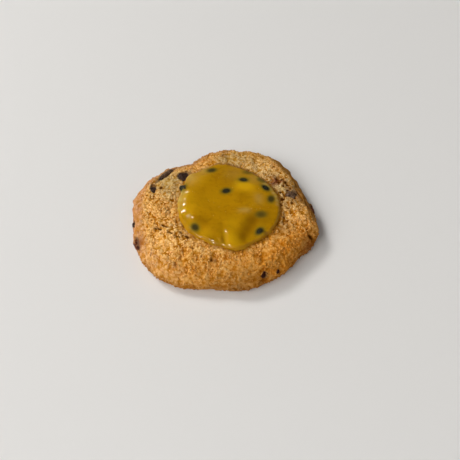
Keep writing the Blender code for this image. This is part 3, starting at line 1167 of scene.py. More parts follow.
@dataclass(frozen=True)
class Crumb:
    """The crust's fine relief: grains on soft swells, folds at the edge, cracks and pores."""

    # Heights without a unit are in grain heights, and the fine grains' size is in grain sizes.
    grain_size: float = 2.1 * MM
    grain_height: float = 0.66 * MM
    grain_gap: float = 0.42
    grain_softness: float = 0.3
    fine_size: float = 0.55
    fine_softness: float = 0.2
    fine_share: float = 0.24
    drift_size: float = 3 * MM
    drift: float = 2.0 * MM
    swell_size: float = 4.5 * MM
    swell_height: float = 2.2
    swell_tone: float = 0.4
    fold_height: float = 0.50 * MM
    fold_size: float = 5.0 * MM
    fold_strength: float = 2.0
    edge_calm: float = 0.55
    crack_depth: float = 0.45 * MM
    crack_size: float = 2.6 * MM
    crack_half_width: float = 0.030
    crack_region: float = 5.0 * MM
    crack_span: Span = (0.52, 0.64)
    pore_depth: float = 0.50 * MM
    pore_spacing: float = 3.2 * MM
    pore_edge: Span = (0.17, 0.08)
    pore_region: float = 9.0 * MM
    pore_span: Span = (0.45, 0.55)
    hollow_least: float = 0.15
    hollow_more: float = 0.45

    def sizes(self) -> dict[str, float]:
        """The values of the tree's inputs."""
        return {
            "Grain Size": self.grain_size,
            "Grain Height": self.grain_height,
            "Fold Height": self.fold_height,
            "Crack Depth": self.crack_depth,
            "Pore Depth": self.pore_depth,
        }

    def add_to(self, piece: bpy.types.Object, finish: bpy.types.Material) -> None:
        """Raises the relief on a piece.

        Args:
            piece: The piece, with its regions stored on its points.
            finish: The material that the tree sets.
        """
        modifier = piece.modifiers.new("crumb", "NODES")
        modifier.node_group = self.tree(finish)
        set_inputs(modifier, self.sizes())
        made_plain(piece)

    def grains(self, wiring: Wiring, place: Socket, size: Socket) -> Socket:
        """The height of the grains, in two sizes of soft cells.

        Args:
            wiring: The tree's wiring.
            place: The position.
            size: The larger grains' size, in metres.

        Returns:
            The height, in grain heights.
        """
        large = wiring.minus(self.grain_gap, wiring.cells(place, size, self.grain_softness))
        small = wiring.times(size, self.fine_size)
        fine = wiring.minus(self.grain_gap, wiring.cells(place, small, self.fine_softness))
        return wiring.scaled(fine, self.fine_share, large)

    def cracks(self, wiring: Wiring, place: Socket, warped: Socket) -> Socket:
        """Thin winding lines in some regions.

        Args:
            wiring: The tree's wiring.
            place: The position.
            warped: The position, led astray, that the lines wind by.

        Returns:
            The mask, 1 in the middle of a line.
        """
        winding = wiring.minus(wiring.noise(warped, self.crack_size, detail=1.0), 0.5)
        line = wiring.fade(wiring.math("ABSOLUTE", winding), self.crack_half_width, 0.0)
        region = wiring.noise(place, self.crack_region, detail=1.0)
        return wiring.times(line, wiring.fade(region, *self.crack_span))

    def pores(self, wiring: Wiring, place: Socket) -> Socket:
        """Round holes in some regions: the mask is 1 in the middle of a hole."""
        holes = wiring.fade(wiring.cells(place, self.pore_spacing), *self.pore_edge)
        region = wiring.noise(place, self.pore_region, detail=1.0)
        return wiring.times(holes, wiring.fade(region, *self.pore_span))

    def tree(self, finish: bpy.types.Material) -> bpy.types.NodeTree:
        """Geometry nodes that raise grains and folds and sink cracks and pores.

        Args:
            finish: The material that the tree sets.

        Returns:
            The tree.
        """
        wiring, given = geometry_tree("crumb", tuple(self.sizes()))
        place = wiring.node("GeometryNodeInputPosition").outputs[0]
        normal = wiring.node("GeometryNodeInputNormal").outputs[0]
        bare, edge, calm, opened = (
            wiring.named(name) for name in ("bare", "edge", "calm", "open")
        )

        astray = wiring.vector("SCALE", wiring.stray(place, self.drift_size, 1.0), self.drift)
        warped = wiring.vector("ADD", place, astray)
        grains = self.grains(wiring, warped, given["Grain Size"])
        swell = wiring.minus(wiring.noise(place, self.swell_size, detail=2.0), 0.5)
        cracks = self.cracks(wiring, place, warped)
        pores = self.pores(wiring, place)
        streaks = wiring.vector("MULTIPLY", place, (1.0, 1.0, 3.0))
        folds = wiring.minus(wiring.noise(streaks, self.fold_size, detail=1.0), 0.5)
        folds = wiring.times(folds, wiring.times(edge, self.fold_strength))

        still = wiring.most(calm, wiring.times(edge, self.edge_calm))
        height = wiring.scaled(swell, self.swell_height, grains)
        height = wiring.times(height, given["Grain Height"])
        height = wiring.times(height, wiring.minus(1.0, still))
        height = wiring.scaled(folds, given["Fold Height"], height)
        for hollow, depth in ((cracks, "Crack Depth"), (pores, "Pore Depth")):
            height = wiring.minus(height, wiring.times(hollow, given[depth]))
        height = wiring.times(height, bare)

        relief = wiring.scaled(swell, self.swell_tone, grains)
        # The cracks and pores, stored as cavity, get painted shade in the material.
        shown = wiring.scaled(opened, self.hollow_more, self.hollow_least)
        hollows = wiring.times(wiring.times(wiring.most(cracks, pores), bare), shown)
        cavity = wiring.most(hollows, wiring.named("cavity"))
        stored = wiring.store(given["Geometry"], "relief", relief)
        stored = wiring.store(stored, "cavity", cavity)
        offset = wiring.vector("SCALE", normal, height)
        moved = wiring.node("GeometryNodeSetPosition", {"Geometry": stored, "Offset": offset})
        finish_tree(wiring, moved.outputs[0], finish)
        return wiring.tree


@dataclass
class Dough:
    """The baked dough, with the fine crumb that its solid leaves out."""

    crumb: Crumb = Crumb()
    segments: int = 700
    level: float = 7 * MM
    inset: float = 8 * MM
    overlap: float = 0.85 * MM
    ragged: float = 0.40
    ragged_size: float = 1.7 * MM
    ragged_seed: float = 3.0
    # Lip and open are in half sizes of an opening; lap and sink are how much lies over a block.
    lip_span: Span = (0.9, 1.15)
    lap_span: Span = (0.05, 0.45)
    open_span: Span = (0.75, 1.0)
    sink_span: Span = (0.1, 0.45)
    melt_share: float = 0.75
    openings: tuple[Opening, ...] = (
        Opening(-34.6, 23.0, 14.0, 50, 8.0, 1.5, smear=1.25),
        Opening(-23.4, 21.2, 16.0, 30, 3.9, 3.0, smear=1.5),
        Opening(-40.9, 12.6, 14.0, 100, 3.5, 1.7, smear=1.2),
        Opening(-50.6, -8.8, 7.8, 90, 2.2, 1.4, 1.8, smear=1.15, sink=1.0),
        Opening(-46.6, -22.6, 8.4, -75, 4.4, 1.3, 2.0, smear=1.3, sink=1.6),
        Opening(21.8, -43.5, 9.2, -69, 1.8, 1.2, 2.3),
        Opening(29.0, -41.0, 8.8, -60, 1.2, 0.9, 1.3),
        Opening(39.4, 7.6, 14.8, 20, 2.6, 1.8, smear=1.8),
        Opening(50.2, 1.4, 8.4, -75, 3.2, 1.0, 1.6, smear=1.6),
    )
    pale_patches: tuple[Patch, ...] = patches(
        (-33, 17, 7, 0.95), (-30, 6, 4, 0.30), (37, 11, 6, 1.00), (34, -8, 5, 0.65),
        (37.5, -16, 3, 0.45), (20, 28, 6, 0.50), (8, 36, 7, 0.55), (28, 22, 5, 0.45),
        (34, -20, 4, 0.30), (-27, -17, 4, 0.25), (0, 34, 5, 0.50), (42, -11, 5, 0.30),
    )
    toast_patches: tuple[Patch, ...] = patches(
        (38, -32, 12, 0.95), (26, -43, 9, 0.75), (8, -46, 9, 0.45), (-10, -46, 8, 0.40),
        (46, -12, 7, 0.45), (48, -25, 5, 0.90), (-20, -40, 6, 0.35), (-44, 26, 5, 0.50),
    )
    # Lighter patches: partly paler crust and partly painted light where the crust faces the lamps.
    lit_and_pale_patches: tuple[Patch, ...] = patches(
        (-34, -12, 7, 0.15), (-34, -28, 8, 0.55), (-24, -24, 5, 0.30), (-6, -36, 8, 0.25),
        (41, -6, 5, 0.60), (42, -14, 5, 0.80), (26, -29, 6, 0.50), (26, 27, 5, 0.30),
        (-46, -2, 5, 0.25),
    )
    # Darker greyish brown: partly the crust's own colour and partly painted shade on the front wall
    # and beside the curd's right side.
    dim_and_shade_patches: tuple[Patch, ...] = patches(
        (33.0, -14, 3.2, 0.55), (31.0, -19, 2.4, 0.45), (34, 0, 4.0, 0.35), (4, 40, 12.0, 0.10),
        (-16, -22, 4.0, 0.25), (4, -40, 14.0, 0.10), (43, 4, 5.5, 0.55), (30, 22, 4.0, 0.15),
        (16, -32, 5.0, 0.10), (7, -54, 7.0, 0.60), (24, -50, 8, 0.35), (-3, -54, 8, 0.20),
    )
    stain_patches: tuple[Patch, ...] = patches(
        (30.4, 18.2, 2.4, 0.75), (32.2, 16.8, 1.2, 0.90), (28.6, 15.0, 1.2, 0.60),
        (35.2, 17.2, 1.6, 0.45), (37.6, 12.6, 1.8, 0.45), (36.4, 7.6, 1.6, 0.40),
        (41.8, 10.6, 1.6, 0.45), (42.4, 5.4, 1.4, 0.45), (49.0, 0.2, 1.8, 0.45),
        (-0.6, 37.9, 1.0, 0.5), (-24.8, -39.9, 1.1, 0.6), (-4.3, -37.6, 1.0, 0.6),
        (47.7, -22.3, 3.0, 0.45), (45.0, -28.0, 3.0, 0.30), (-46.2, -23.2, 2.4, 0.75),
    )
    grooves: tuple[Groove, ...] = (
        *pits(
            (-36.4, 12.1, 15.5, 1.3, 1.0), (31.2, 19.6, 14.8, 1.1, 0.9),
            (32.4, 16.6, 15.2, 1.1, 0.9), (34.5, 18.5, 15.2, 1.3, 1.1),
            (36.3, 16.4, 15.6, 1.3, 1.1), (37.2, 14.2, 14.8, 1.3, 1.1),
            (34.9, 13.6, 14.8, 1.0, 0.9), (37.0, 10.4, 15.1, 1.3, 1.1), (35.8, 6.8, 14.9, 1.2, 1.0),
            (34.0, 4.0, 14.6, 1.3, 1.0), (33.3, 8.9, 14.4, 1.1, 0.9), (40.7, 5.1, 15.0, 1.1, 0.9),
            (38.6, 11.9, 15.0, 1.0, 0.8), (32.9, -0.6, 13.8, 1.0, 0.8),
            (33.8, -9.4, 14.2, 1.0, 0.8, 0.7), (35.4, -12.0, 14.8, 1.0, 0.8, 0.7),
            (33.2, -13.8, 14.8, 1.0, 0.8, 0.6), (35.0, -17.2, 15.2, 1.0, 0.7, 0.6),
            (36.3, -2.6, 14.7, 0.9, 0.7), (38.6, 0.9, 15.2, 1.0, 0.8),
            (-5.7, -37.5, 14.6, 1.4, 1.0, 0.65), (-11.3, -35.3, 15.2, 1.0, 0.7, 0.45),
            (-24.8, -39.9, 13.0, 1.1, 0.7, 0.45), (-0.6, 37.9, 14.0, 1.0, 0.6, 0.45),
        ),
        Groove((-33.4, -14.8, 15.4), (-30.6, -16.8, 15.5), 0.75, 0.8, 0.80),
        Groove((-36.8, -17.0, 15.2), (-34.0, -17.8, 15.4), 0.75, 0.8, 0.80),
        Groove((-29.6, -20.8, 16.4), (-27.2, -21.2, 16.6), 0.75, 0.8, 0.75),
        Groove((-20.4, -22.0, 15.1), (-18.6, -23.2, 15.1), 0.70, 0.8, 0.80),
        Groove((-23.8, -19.8, 15.4), (-22.4, -20.6, 15.3), 0.70, 0.7, 0.55),
        Groove((-25.4, -23.2, 16.5), (-23.0, -23.8, 16.6), 0.65, 0.7, 0.55),
        Groove((-17.3, -30.0, 16.5), (-15.6, -31.2, 16.6), 0.65, 0.7, 0.55),
        Groove((34.0, -6.4, 14.2), (34.6, -8.6, 14.2), 0.75, 0.6, 0.35),
        Groove((34.4, -12.8, 15.2), (35.6, -15.2, 15.4), 0.75, 0.6, 0.35),
        Groove((32.0, -16.6, 15.5), (33.6, -18.2, 15.6), 0.75, 0.6, 0.35),
        Groove((35.2, -17.4, 15.4), (36.8, -19.8, 15.3), 0.75, 0.6, 0.25),
        *furrow(
            0.8,
            0.7,
            0.60,
            (38.6, 25.0, 12.6),
            (42.2, 18.4, 12.6),
            (45.0, 12.0, 12.4),
            (47.0, 6.0, 12.4),
            (48.6, 1.5, 12.0),
        ),
        *furrow(0.8, 0.7, 0.70, (41.6, 12.4, 13.4), (43.2, 9.0, 13.4), (45.2, 4.8, 13.2)),
        *furrow(0.9, 0.8, 0.85, (46.8, 2.6, 12.6), (48.2, 0.0, 12.1), (49.2, -2.6, 11.8)),
        *furrow(1.1, 1.4, 1.0, (47.0, -19.8, 12.0), (48.6, -20.4, 11.0), (50.2, -20.9, 10.0)),
        *furrow(1.5, 2.8, 1.0, (50.2, -20.9, 10.0), (51.6, -21.2, 8.0), (53.0, -20.9, 4.6)),
        *furrow(1.3, -0.9, 0.0, (47.0, -23.2, 9.6), (49.4, -22.2, 7.2), (51.2, -21.6, 4.6)),
        *furrow(1.8, -1.3, 0.0, (49.8, -15.6, 10.9), (51.4, -17.0, 8.6), (52.8, -17.2, 6.0)),
    )
    rim_patches: tuple[Patch, ...] = patches(
        (-53, -4, 11, 1.0), (-44, 22, 11, 1.0), (-24, 34, 9, 0.9), (-6, 49, 9, 0.7),
        (-45, -26, 8, 0.6), (-30, -40, 9, 0.3),
    )
    dull_patches: tuple[Patch, ...] = patches(
        (34, 34, 9, 0.85), (44, 19, 9, 1.0), (52, 6, 6, 0.85), (53, -7, 6, 0.50),
        (10, 50, 10, 0.45), (-7, 50, 8, 0.35), (-22, 38, 9, 0.60), (44, -30, 9, 0.35),
        (10, -54, 9, 0.35),
    )
    open_patches: tuple[Patch, ...] = patches(
        (-34, -9, 8, 0.70), (-25, -22, 5, 0.65), (-38, 2, 6, 0.80), (-10, -34, 4, 0.45),
        (-30, 12, 4, 0.50), (34, 13, 8, 1.00), (20, 33, 7, 0.75), (6, 36, 6, 0.50),
        (34, -12, 5, 0.95),
    )
    calm_patches: tuple[Patch, ...] = patches(
        (5, -44, 20, 0.30), (46, -10, 12, 0.15), (36, -34, 12, 0.25), (0, 42, 14, 0.15),
        (-33, 17, 6, 0.40), (0, 50, 13, 0.45), (28, 42, 10, 0.30),
    )
    # A level is a ray's angle, in radians. Edge and border are shares of the dough's radius, and
    # top and beside are shares of the curd's half size.
    foot_glow: Patch = Patch(34, -44, 13)
    foot_share: float = 0.8
    foot_span: Span = (0.6 * MM, 1.8 * MM)
    bake_share: float = 0.9
    bake_span: Span = (2.5 * MM, 10.0 * MM)
    top_span: Span = (0.80, 0.92)
    under_span: Span = (-1.45, -1.0)
    side_level: float = -1.2
    wall_level: float = 0.2
    edge_span: Span = (0.87, 0.955)
    border_span: Span = (0.83, 0.93)
    rim_share: float = 0.8
    dull_share: float = 0.9
    calm_shares: tuple[float, float, float] = (0.9, 0.9, 0.35)
    upper_from: float = 9 * MM
    stain_from: float = 4 * MM
    beside: Span = (0.8, 1.6)
    gap_limit: float = 14 * MM
    collar_height: float = 15.5 * MM
    collar_reach: float = 3.0 * MM
    collar_dip: float = 1.8 * MM
    # The soaked band round the curd, with painted shadow added towards +X.
    soak_least: float = 0.50
    shadow_more: float = 0.40
    shadow_span: Span = (-12 * MM, 12 * MM)
    soak_and_shadow_span: Span = (0.6 * MM, 2.1 * MM)

    def build(
        self,
        solid: bpy.types.Object,
        blocks: list[bpy.types.Object],
        curd: bpy.types.Object,
        finish: bpy.types.Material,
    ) -> bpy.types.Object:
        """Makes the dough.

        Args:
            solid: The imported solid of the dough.
            blocks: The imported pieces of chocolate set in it.
            curd: The finished curd on it.
            finish: Its material.

        Returns:
            The piece.
        """
        rays = SolidRays(solid, self.level, self.inset, self.segments, blocks)
        grid, over_block = rays.cast()
        grid.push(self.crust(grid.points, over_block))
        numbers = self.regions(grid, curd)
        smeared = [1.0 - smooth_step(1.0, o.smear, o.off(grid.points)) for o in self.openings]
        numbers["melt"] = self.melt_share * np.max(smeared, axis=0)
        depth, numbers["cavity"] = self.hollows(grid.points)
        grid.push(-depth)
        piece = add_object("dough", grid_mesh("dough", grid, numbers))
        self.crumb.add_to(piece, finish)
        spread_evenly(piece.data, "relief")
        keep_above_floor(piece.data)
        return piece

    def crust(self, points: np.ndarray, over_block: np.ndarray) -> np.ndarray:
        """How far the crust laps over the blocks' edges, or sinks where it opens over them.

        Args:
            points: The dough's points.
            over_block: How much each point lies over a block.

        Returns:
            The height at each point, in metres.
        """
        offs = np.array([opening.off(points) for opening in self.openings])
        sinks = np.array([opening.sink * MM for opening in self.openings])
        ragged = rough(points, self.ragged_size, self.ragged_seed)
        off = offs.min(axis=0) + self.ragged * ragged
        outside = smooth_step(*self.lip_span, off) * smooth_step(*self.lap_span, over_block)
        inside = 1.0 - smooth_step(*self.open_span, off)
        inside = inside * smooth_step(*self.sink_span, over_block)
        return outside * self.overlap - inside * sinks[offs.argmin(axis=0)]

    def hollows(self, points: np.ndarray) -> tuple[np.ndarray, np.ndarray]:
        """How deep each point lies in a groove, in metres, and how much painted shade darkens it
        there.
        """
        depth = np.zeros(points.shape[:2])
        dark = np.zeros_like(depth)
        for groove in self.grooves:
            near = groove.laid_on(points).over(points)
            depth = np.maximum(depth, near * groove.depth * MM)
            dark = np.maximum(dark, near * groove.dark)
        return depth, dark

    def gap_to(self, curd: bpy.types.Object, points: np.ndarray, near: np.ndarray) -> np.ndarray:
        """How far the points are from the curd.

        Args:
            curd: The finished curd.
            points: The dough's points.
            near: Which of them are worth measuring.

        Returns:
            The distances, in metres, at most the furthest one that is measured.
        """
        tree = joined_tree([curd])
        gap = np.full(points.shape[:2], self.gap_limit)
        for row, column in zip(*np.nonzero(near)):
            hit = tree.find_nearest(Vector(points[row, column]), self.gap_limit)
            if hit[3] is not None:
                gap[row, column] = hit[3]
        return gap

    def regions(self, grid: PolarGrid, curd: bpy.types.Object) -> dict[str, np.ndarray]:
        """Raises the crust to the curd's edge, and tells where it is bare, browned, pale and so on.

        Args:
            grid: The dough's points.
            curd: The finished curd.

        Returns:
            The named attributes.
        """
        points, level = grid.points, grid.level()
        low, high = (np.array(corner)[:2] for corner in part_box("passion_fruit_curd"))
        off = (points[..., :2] - (low + high) / 2) / ((high - low) / 2)
        from_curd = np.hypot(off[..., 0], off[..., 1])
        on_top = smooth_step(*self.top_span, from_curd)
        bare = np.where(level > 0, on_top, smooth_step(*self.under_span, level))
        bake = 1.0 - smooth_step(*self.bake_span, points[..., 2])
        foot = self.foot_share * (1.0 - smooth_step(*self.foot_span, points[..., 2]))
        foot = np.where(level > self.side_level, foot, 0.0)
        bake *= 1.0 - foot * self.foot_glow.over(points)
        upper = points[..., 2] > self.upper_from
        radius = np.hypot(points[..., 0], points[..., 1])
        share = radius / radius.max(axis=1, keepdims=True)
        wall = level < self.wall_level
        edge = np.where(wall, 1.0, smooth_step(*self.edge_span, share))
        border = np.where(wall, 1.0, smooth_step(*self.border_span, share))
        rim = self.rim_share * summed(self.rim_patches, points) * border
        dull = summed(self.dull_patches, points) * border
        beside = (from_curd > self.beside[0]) & (from_curd < self.beside[1]) & (level > 0)
        gap = self.gap_to(curd, points, beside)
        lift = self.collar_height - points[..., 2]
        reach = np.where(lift > 0, self.collar_reach, self.collar_dip)
        points[..., 2] += np.exp(-((gap / reach) ** 2)) * lift
        # Painted shadow: the soaked band darkens more towards +X, where the curd's shadow falls.
        soak_shadow = self.soak_least + self.shadow_more * smooth_step(*self.shadow_span, points[..., 0])
        rim_calm, dull_calm, edge_calm = self.calm_shares
        calm = summed(self.calm_patches, points)
        return {
            "bare": bare,
            "bake": self.bake_share * bake,
            "edge": edge,
            "rim": rim,
            # dull holds the rim's dull brown and the dim patches' painted shade.
            "dull": np.maximum(self.dull_share * dull, summed(self.dim_and_shade_patches, points)),
            "light": summed(self.lit_and_pale_patches, points),
            "calm": np.max([rim_calm * rim, dull_calm * dull, edge_calm * edge, calm], axis=0),
            "open": summed(self.open_patches, points),
            "pale": summed(self.pale_patches, points) * upper,
            "toast": summed(self.toast_patches, points),
            "stain": summed(self.stain_patches, points) * (points[..., 2] > self.stain_from),
            "soak": soak_shadow * (1.0 - smooth_step(*self.soak_and_shadow_span, gap)),
        }


@dataclass
class Grains:
    """Loose-looking grains of crumb, half sunk all over the crust."""

    name: str
    seed: int
    spacing: float
    size: float
    facets: int
    sink: float
    scale_low: tuple[float, float, float] = (0.6, 0.6, 0.45)
    scale_high: tuple[float, float, float] = (1.3, 1.1, 0.8)
    uneven: float = 0.30
    uneven_size: float = 0.7 * MM
    tilt: float = 0.5
    tone_low: float = 0.45
    region_size: float = 5 * MM
    region_span: Span = (0.22, 0.54)
    # How strongly each of the dough's regions keeps grains away.
    hollow_bare: float = 2.2
    calm_bare: float = 1.3
    edge_bare: float = 0.6

    def build(self, dough: bpy.types.Object, finish: bpy.types.Material) -> bpy.types.Object:
        """Makes the grains.

        Args:
            dough: The finished dough that they stand on.
            finish: Their material.

        Returns:
            The piece.
        """
        piece = add_object(self.name, dough.data.copy())
        modifier = piece.modifiers.new("grains", "NODES")
        modifier.node_group = self.tree(finish)
        set_inputs(modifier, {"Density": self.spacing**-2, "Grain Size": self.size})
        made_plain(piece)
        keep_above_floor(piece.data)
        return piece

    def tree(self, finish: bpy.types.Material) -> bpy.types.NodeTree:
        """Geometry nodes that scatter the grains.

        Args:
            finish: The material that the tree sets.

        Returns:
            The tree.
        """
        wiring, given = geometry_tree(self.name, ("Density", "Grain Size"))
        density = wiring.times(self.share(wiring), given["Density"])
        spread = wiring.node(
            "GeometryNodeDistributePointsOnFaces",
            {"Mesh": given["Geometry"], "Density": density, "Seed": self.seed},
        )
        grain = wiring.node(
            "GeometryNodeMeshUVSphere",
            {"Segments": self.facets, "Rings": self.facets // 2 + 1, "Radius": 0.5},
        )
        scale = self.random(wiring, 1, {0: self.scale_low, 1: self.scale_high})
        placed = wiring.node(
            "GeometryNodeInstanceOnPoints",
            {
                "Points": spread.outputs["Points"],
                "Instance": grain.outputs["Mesh"],
                "Rotation": spread.outputs["Rotation"],
                "Scale": wiring.vector("SCALE", scale.outputs[0], given["Grain Size"]),
            },
        )
        most = (self.tilt, self.tilt, math.pi)
        turn = self.random(wiring, 2, {0: tuple(-angle for angle in most), 1: most})
        turned_round = wiring.node(
            "GeometryNodeRotateInstances",
            {"Instances": placed.outputs[0], "Rotation": turn.outputs[0], "Local Space": True},
        )
        down = wiring.times(given["Grain Size"], -self.sink)
        sunk = wiring.node(
            "GeometryNodeTranslateInstances",
            {
                "Instances": turned_round.outputs[0],
                "Translation": wiring.node("ShaderNodeCombineXYZ", {"Z": down}).outputs[0],
                "Local Space": True,
            },
        )
        tone = self.random(wiring, 3, {2: self.tone_low, 3: 1.0}, "FLOAT")
        toned = wiring.store(sunk.outputs[0], "relief", tone.outputs[1], "INSTANCE")
        whole = wiring.node("GeometryNodeRealizeInstances", {"Geometry": toned})
        here = wiring.node("GeometryNodeInputPosition").outputs[0]
        stray = wiring.stray(here, self.uneven_size, detail=0.0)
        offset = wiring.vector("SCALE", stray, wiring.times(given["Grain Size"], self.uneven))
        bent = wiring.node(
            "GeometryNodeSetPosition", {"Geometry": whole.outputs[0], "Offset": offset}
        )
        smooth = wiring.node("GeometryNodeSetShadeSmooth", {"Geometry": bent.outputs[0]})
        finish_tree(wiring, smooth.outputs[0], finish)
        return wiring.tree

    def share(self, wiring: Wiring) -> Socket:
        """How much of its full density of grains each place has.

        Args:
            wiring: The tree's wiring.

        Returns:
            The value socket.
        """
        place = wiring.node("GeometryNodeInputPosition").outputs[0]
        region = wiring.noise(place, self.region_size, detail=1.0)
        hidden = wiring.named("melt")
        for name, strength in (
            ("cavity", self.hollow_bare),
            ("calm", self.calm_bare),
            ("edge", self.edge_bare),
        ):
            hidden = wiring.most(hidden, wiring.times(wiring.named(name), strength))
        free = wiring.minus(1.0, hidden, clamp=True)
        patchy = wiring.fade(region, *self.region_span)
        return wiring.times(wiring.times(patchy, free), wiring.named("bare"))

    def random(
        self, wiring: Wiring, turn: int, ends: dict[int, Any], kind: str = "FLOAT_VECTOR"
    ) -> bpy.types.Node:
        """A node that draws a random value for each grain.

        Args:
            wiring: The tree's wiring.
            turn: Tells this draw from the others, by its seed.
            ends: The least and the largest value, for their sockets.
            kind: The kind of value.

        Returns:
            The node.
        """
        inputs = {**ends, "Seed": self.seed + turn}
        return wiring.node("FunctionNodeRandomValue", inputs, data_type=kind)


def geometry_tree(name: str, sizes: tuple[str, ...]) -> tuple[Wiring, bpy.types.NodeOutputs]:
    """A geometry tree with a mesh input, named size inputs and a mesh output.

    Args:
        name: The tree's name.
        sizes: The names of its number inputs.

    Returns:
        Its wiring and the outputs of its input node.
    """
    tree = bpy.data.node_groups.new(name, "GeometryNodeTree")
    tree.interface.new_socket(name="Geometry", in_out="INPUT", socket_type="NodeSocketGeometry")
    for label in sizes:
        tree.interface.new_socket(name=label, in_out="INPUT", socket_type="NodeSocketFloat")
    tree.interface.new_socket(name="Geometry", in_out="OUTPUT", socket_type="NodeSocketGeometry")
    wiring = Wiring(tree)
    return wiring, wiring.node("NodeGroupInput").outputs


def set_inputs(modifier: bpy.types.NodesModifier, values: dict[str, Any]) -> None:
    """Sets a geometry tree's inputs by their sockets' identifiers.

    Args:
        modifier: The modifier that holds the tree.
        values: A value for each named input.
    """
    names = {
        item.name: item.identifier
        for item in modifier.node_group.interface.items_tree
        if item.in_out == "INPUT"
    }
    for label, value in values.items():
        modifier[names[label]] = value


def finish_tree(wiring: Wiring, geometry: Socket, finish: bpy.types.Material) -> None:
    """Ends a geometry tree: instances are realized and the material is set.

    Args:
        wiring: The tree's wiring.
        geometry: What it has made.
        finish: The material.
    """
    realized = wiring.node("GeometryNodeRealizeInstances", {"Geometry": geometry})
    inputs = {"Geometry": realized.outputs[0], "Material": finish}
    dressed = wiring.node("GeometryNodeSetMaterial", inputs)
    wiring.node("NodeGroupOutput", {0: dressed.outputs[0]})


# ---- the curd and its seeds -------------------------------------------------------------------


@dataclass(frozen=True)
class Seed:
    """One passion fruit seed, in millimetres: where it lies and how clearly it shows."""

    x: float
    y: float
    heading: float
    clear: float = 1.0
    blur: float = 0.3
    proud: float = 0.12


@dataclass(frozen=True)
class Bulge:
    """A soft bulge of an outline: direction and half width in degrees, amount in millimetres."""

    direction: float
    amount: float
    half_width: float

    def over(self, turn: np.ndarray) -> np.ndarray:
        """Its amount, in metres, in each direction."""
        off = (turn - self.direction + 180.0) % 360.0 - 180.0
        return self.amount * MM * np.exp(-0.5 * (off / self.half_width) ** 2)


@dataclass(frozen=True)
class Swell:
    """A long soft ridge, or with a negative height a hollow, of the curd, in millimetres."""

    x: float
    y: float
    heading: float
    length: float
    width: float
    height: float

    def over(self, points: np.ndarray) -> np.ndarray:
        """Its height at each point, in metres."""
        along, across = turned(points, self.x, self.y, self.heading)
        off = (along / self.length) ** 2 + (across / self.width) ** 2
        return self.height * MM * np.exp(-0.5 * off)


SEEDS = (
    Seed(-7.2, 23.4, 10, 0.76, 0.6),
    Seed(11.4, 15.0, -8, 0.92, 0.4),
    Seed(1.5, 6.8, 14, 0.95, 0.4),
    Seed(24.0, 9.4, -40, 1.0, 0.4),
    Seed(26.8, 1.4, 70, 0.76, 0.5),
    Seed(20.8, -9.6, 5, 0.60, 0.8),
    Seed(19.6, -20.8, 50, 1.0, 0.5),
    Seed(-15.2, -18.4, -62, 0.82, 0.55),
    Seed(14.2, 22.4, -6, 0.45, 0.6),
    Seed(-23.8, 10.2, 62, 1.0, 0.4, 0.30),
    Seed(22.0, 16.0, -50, 0.50, 0.6),
)


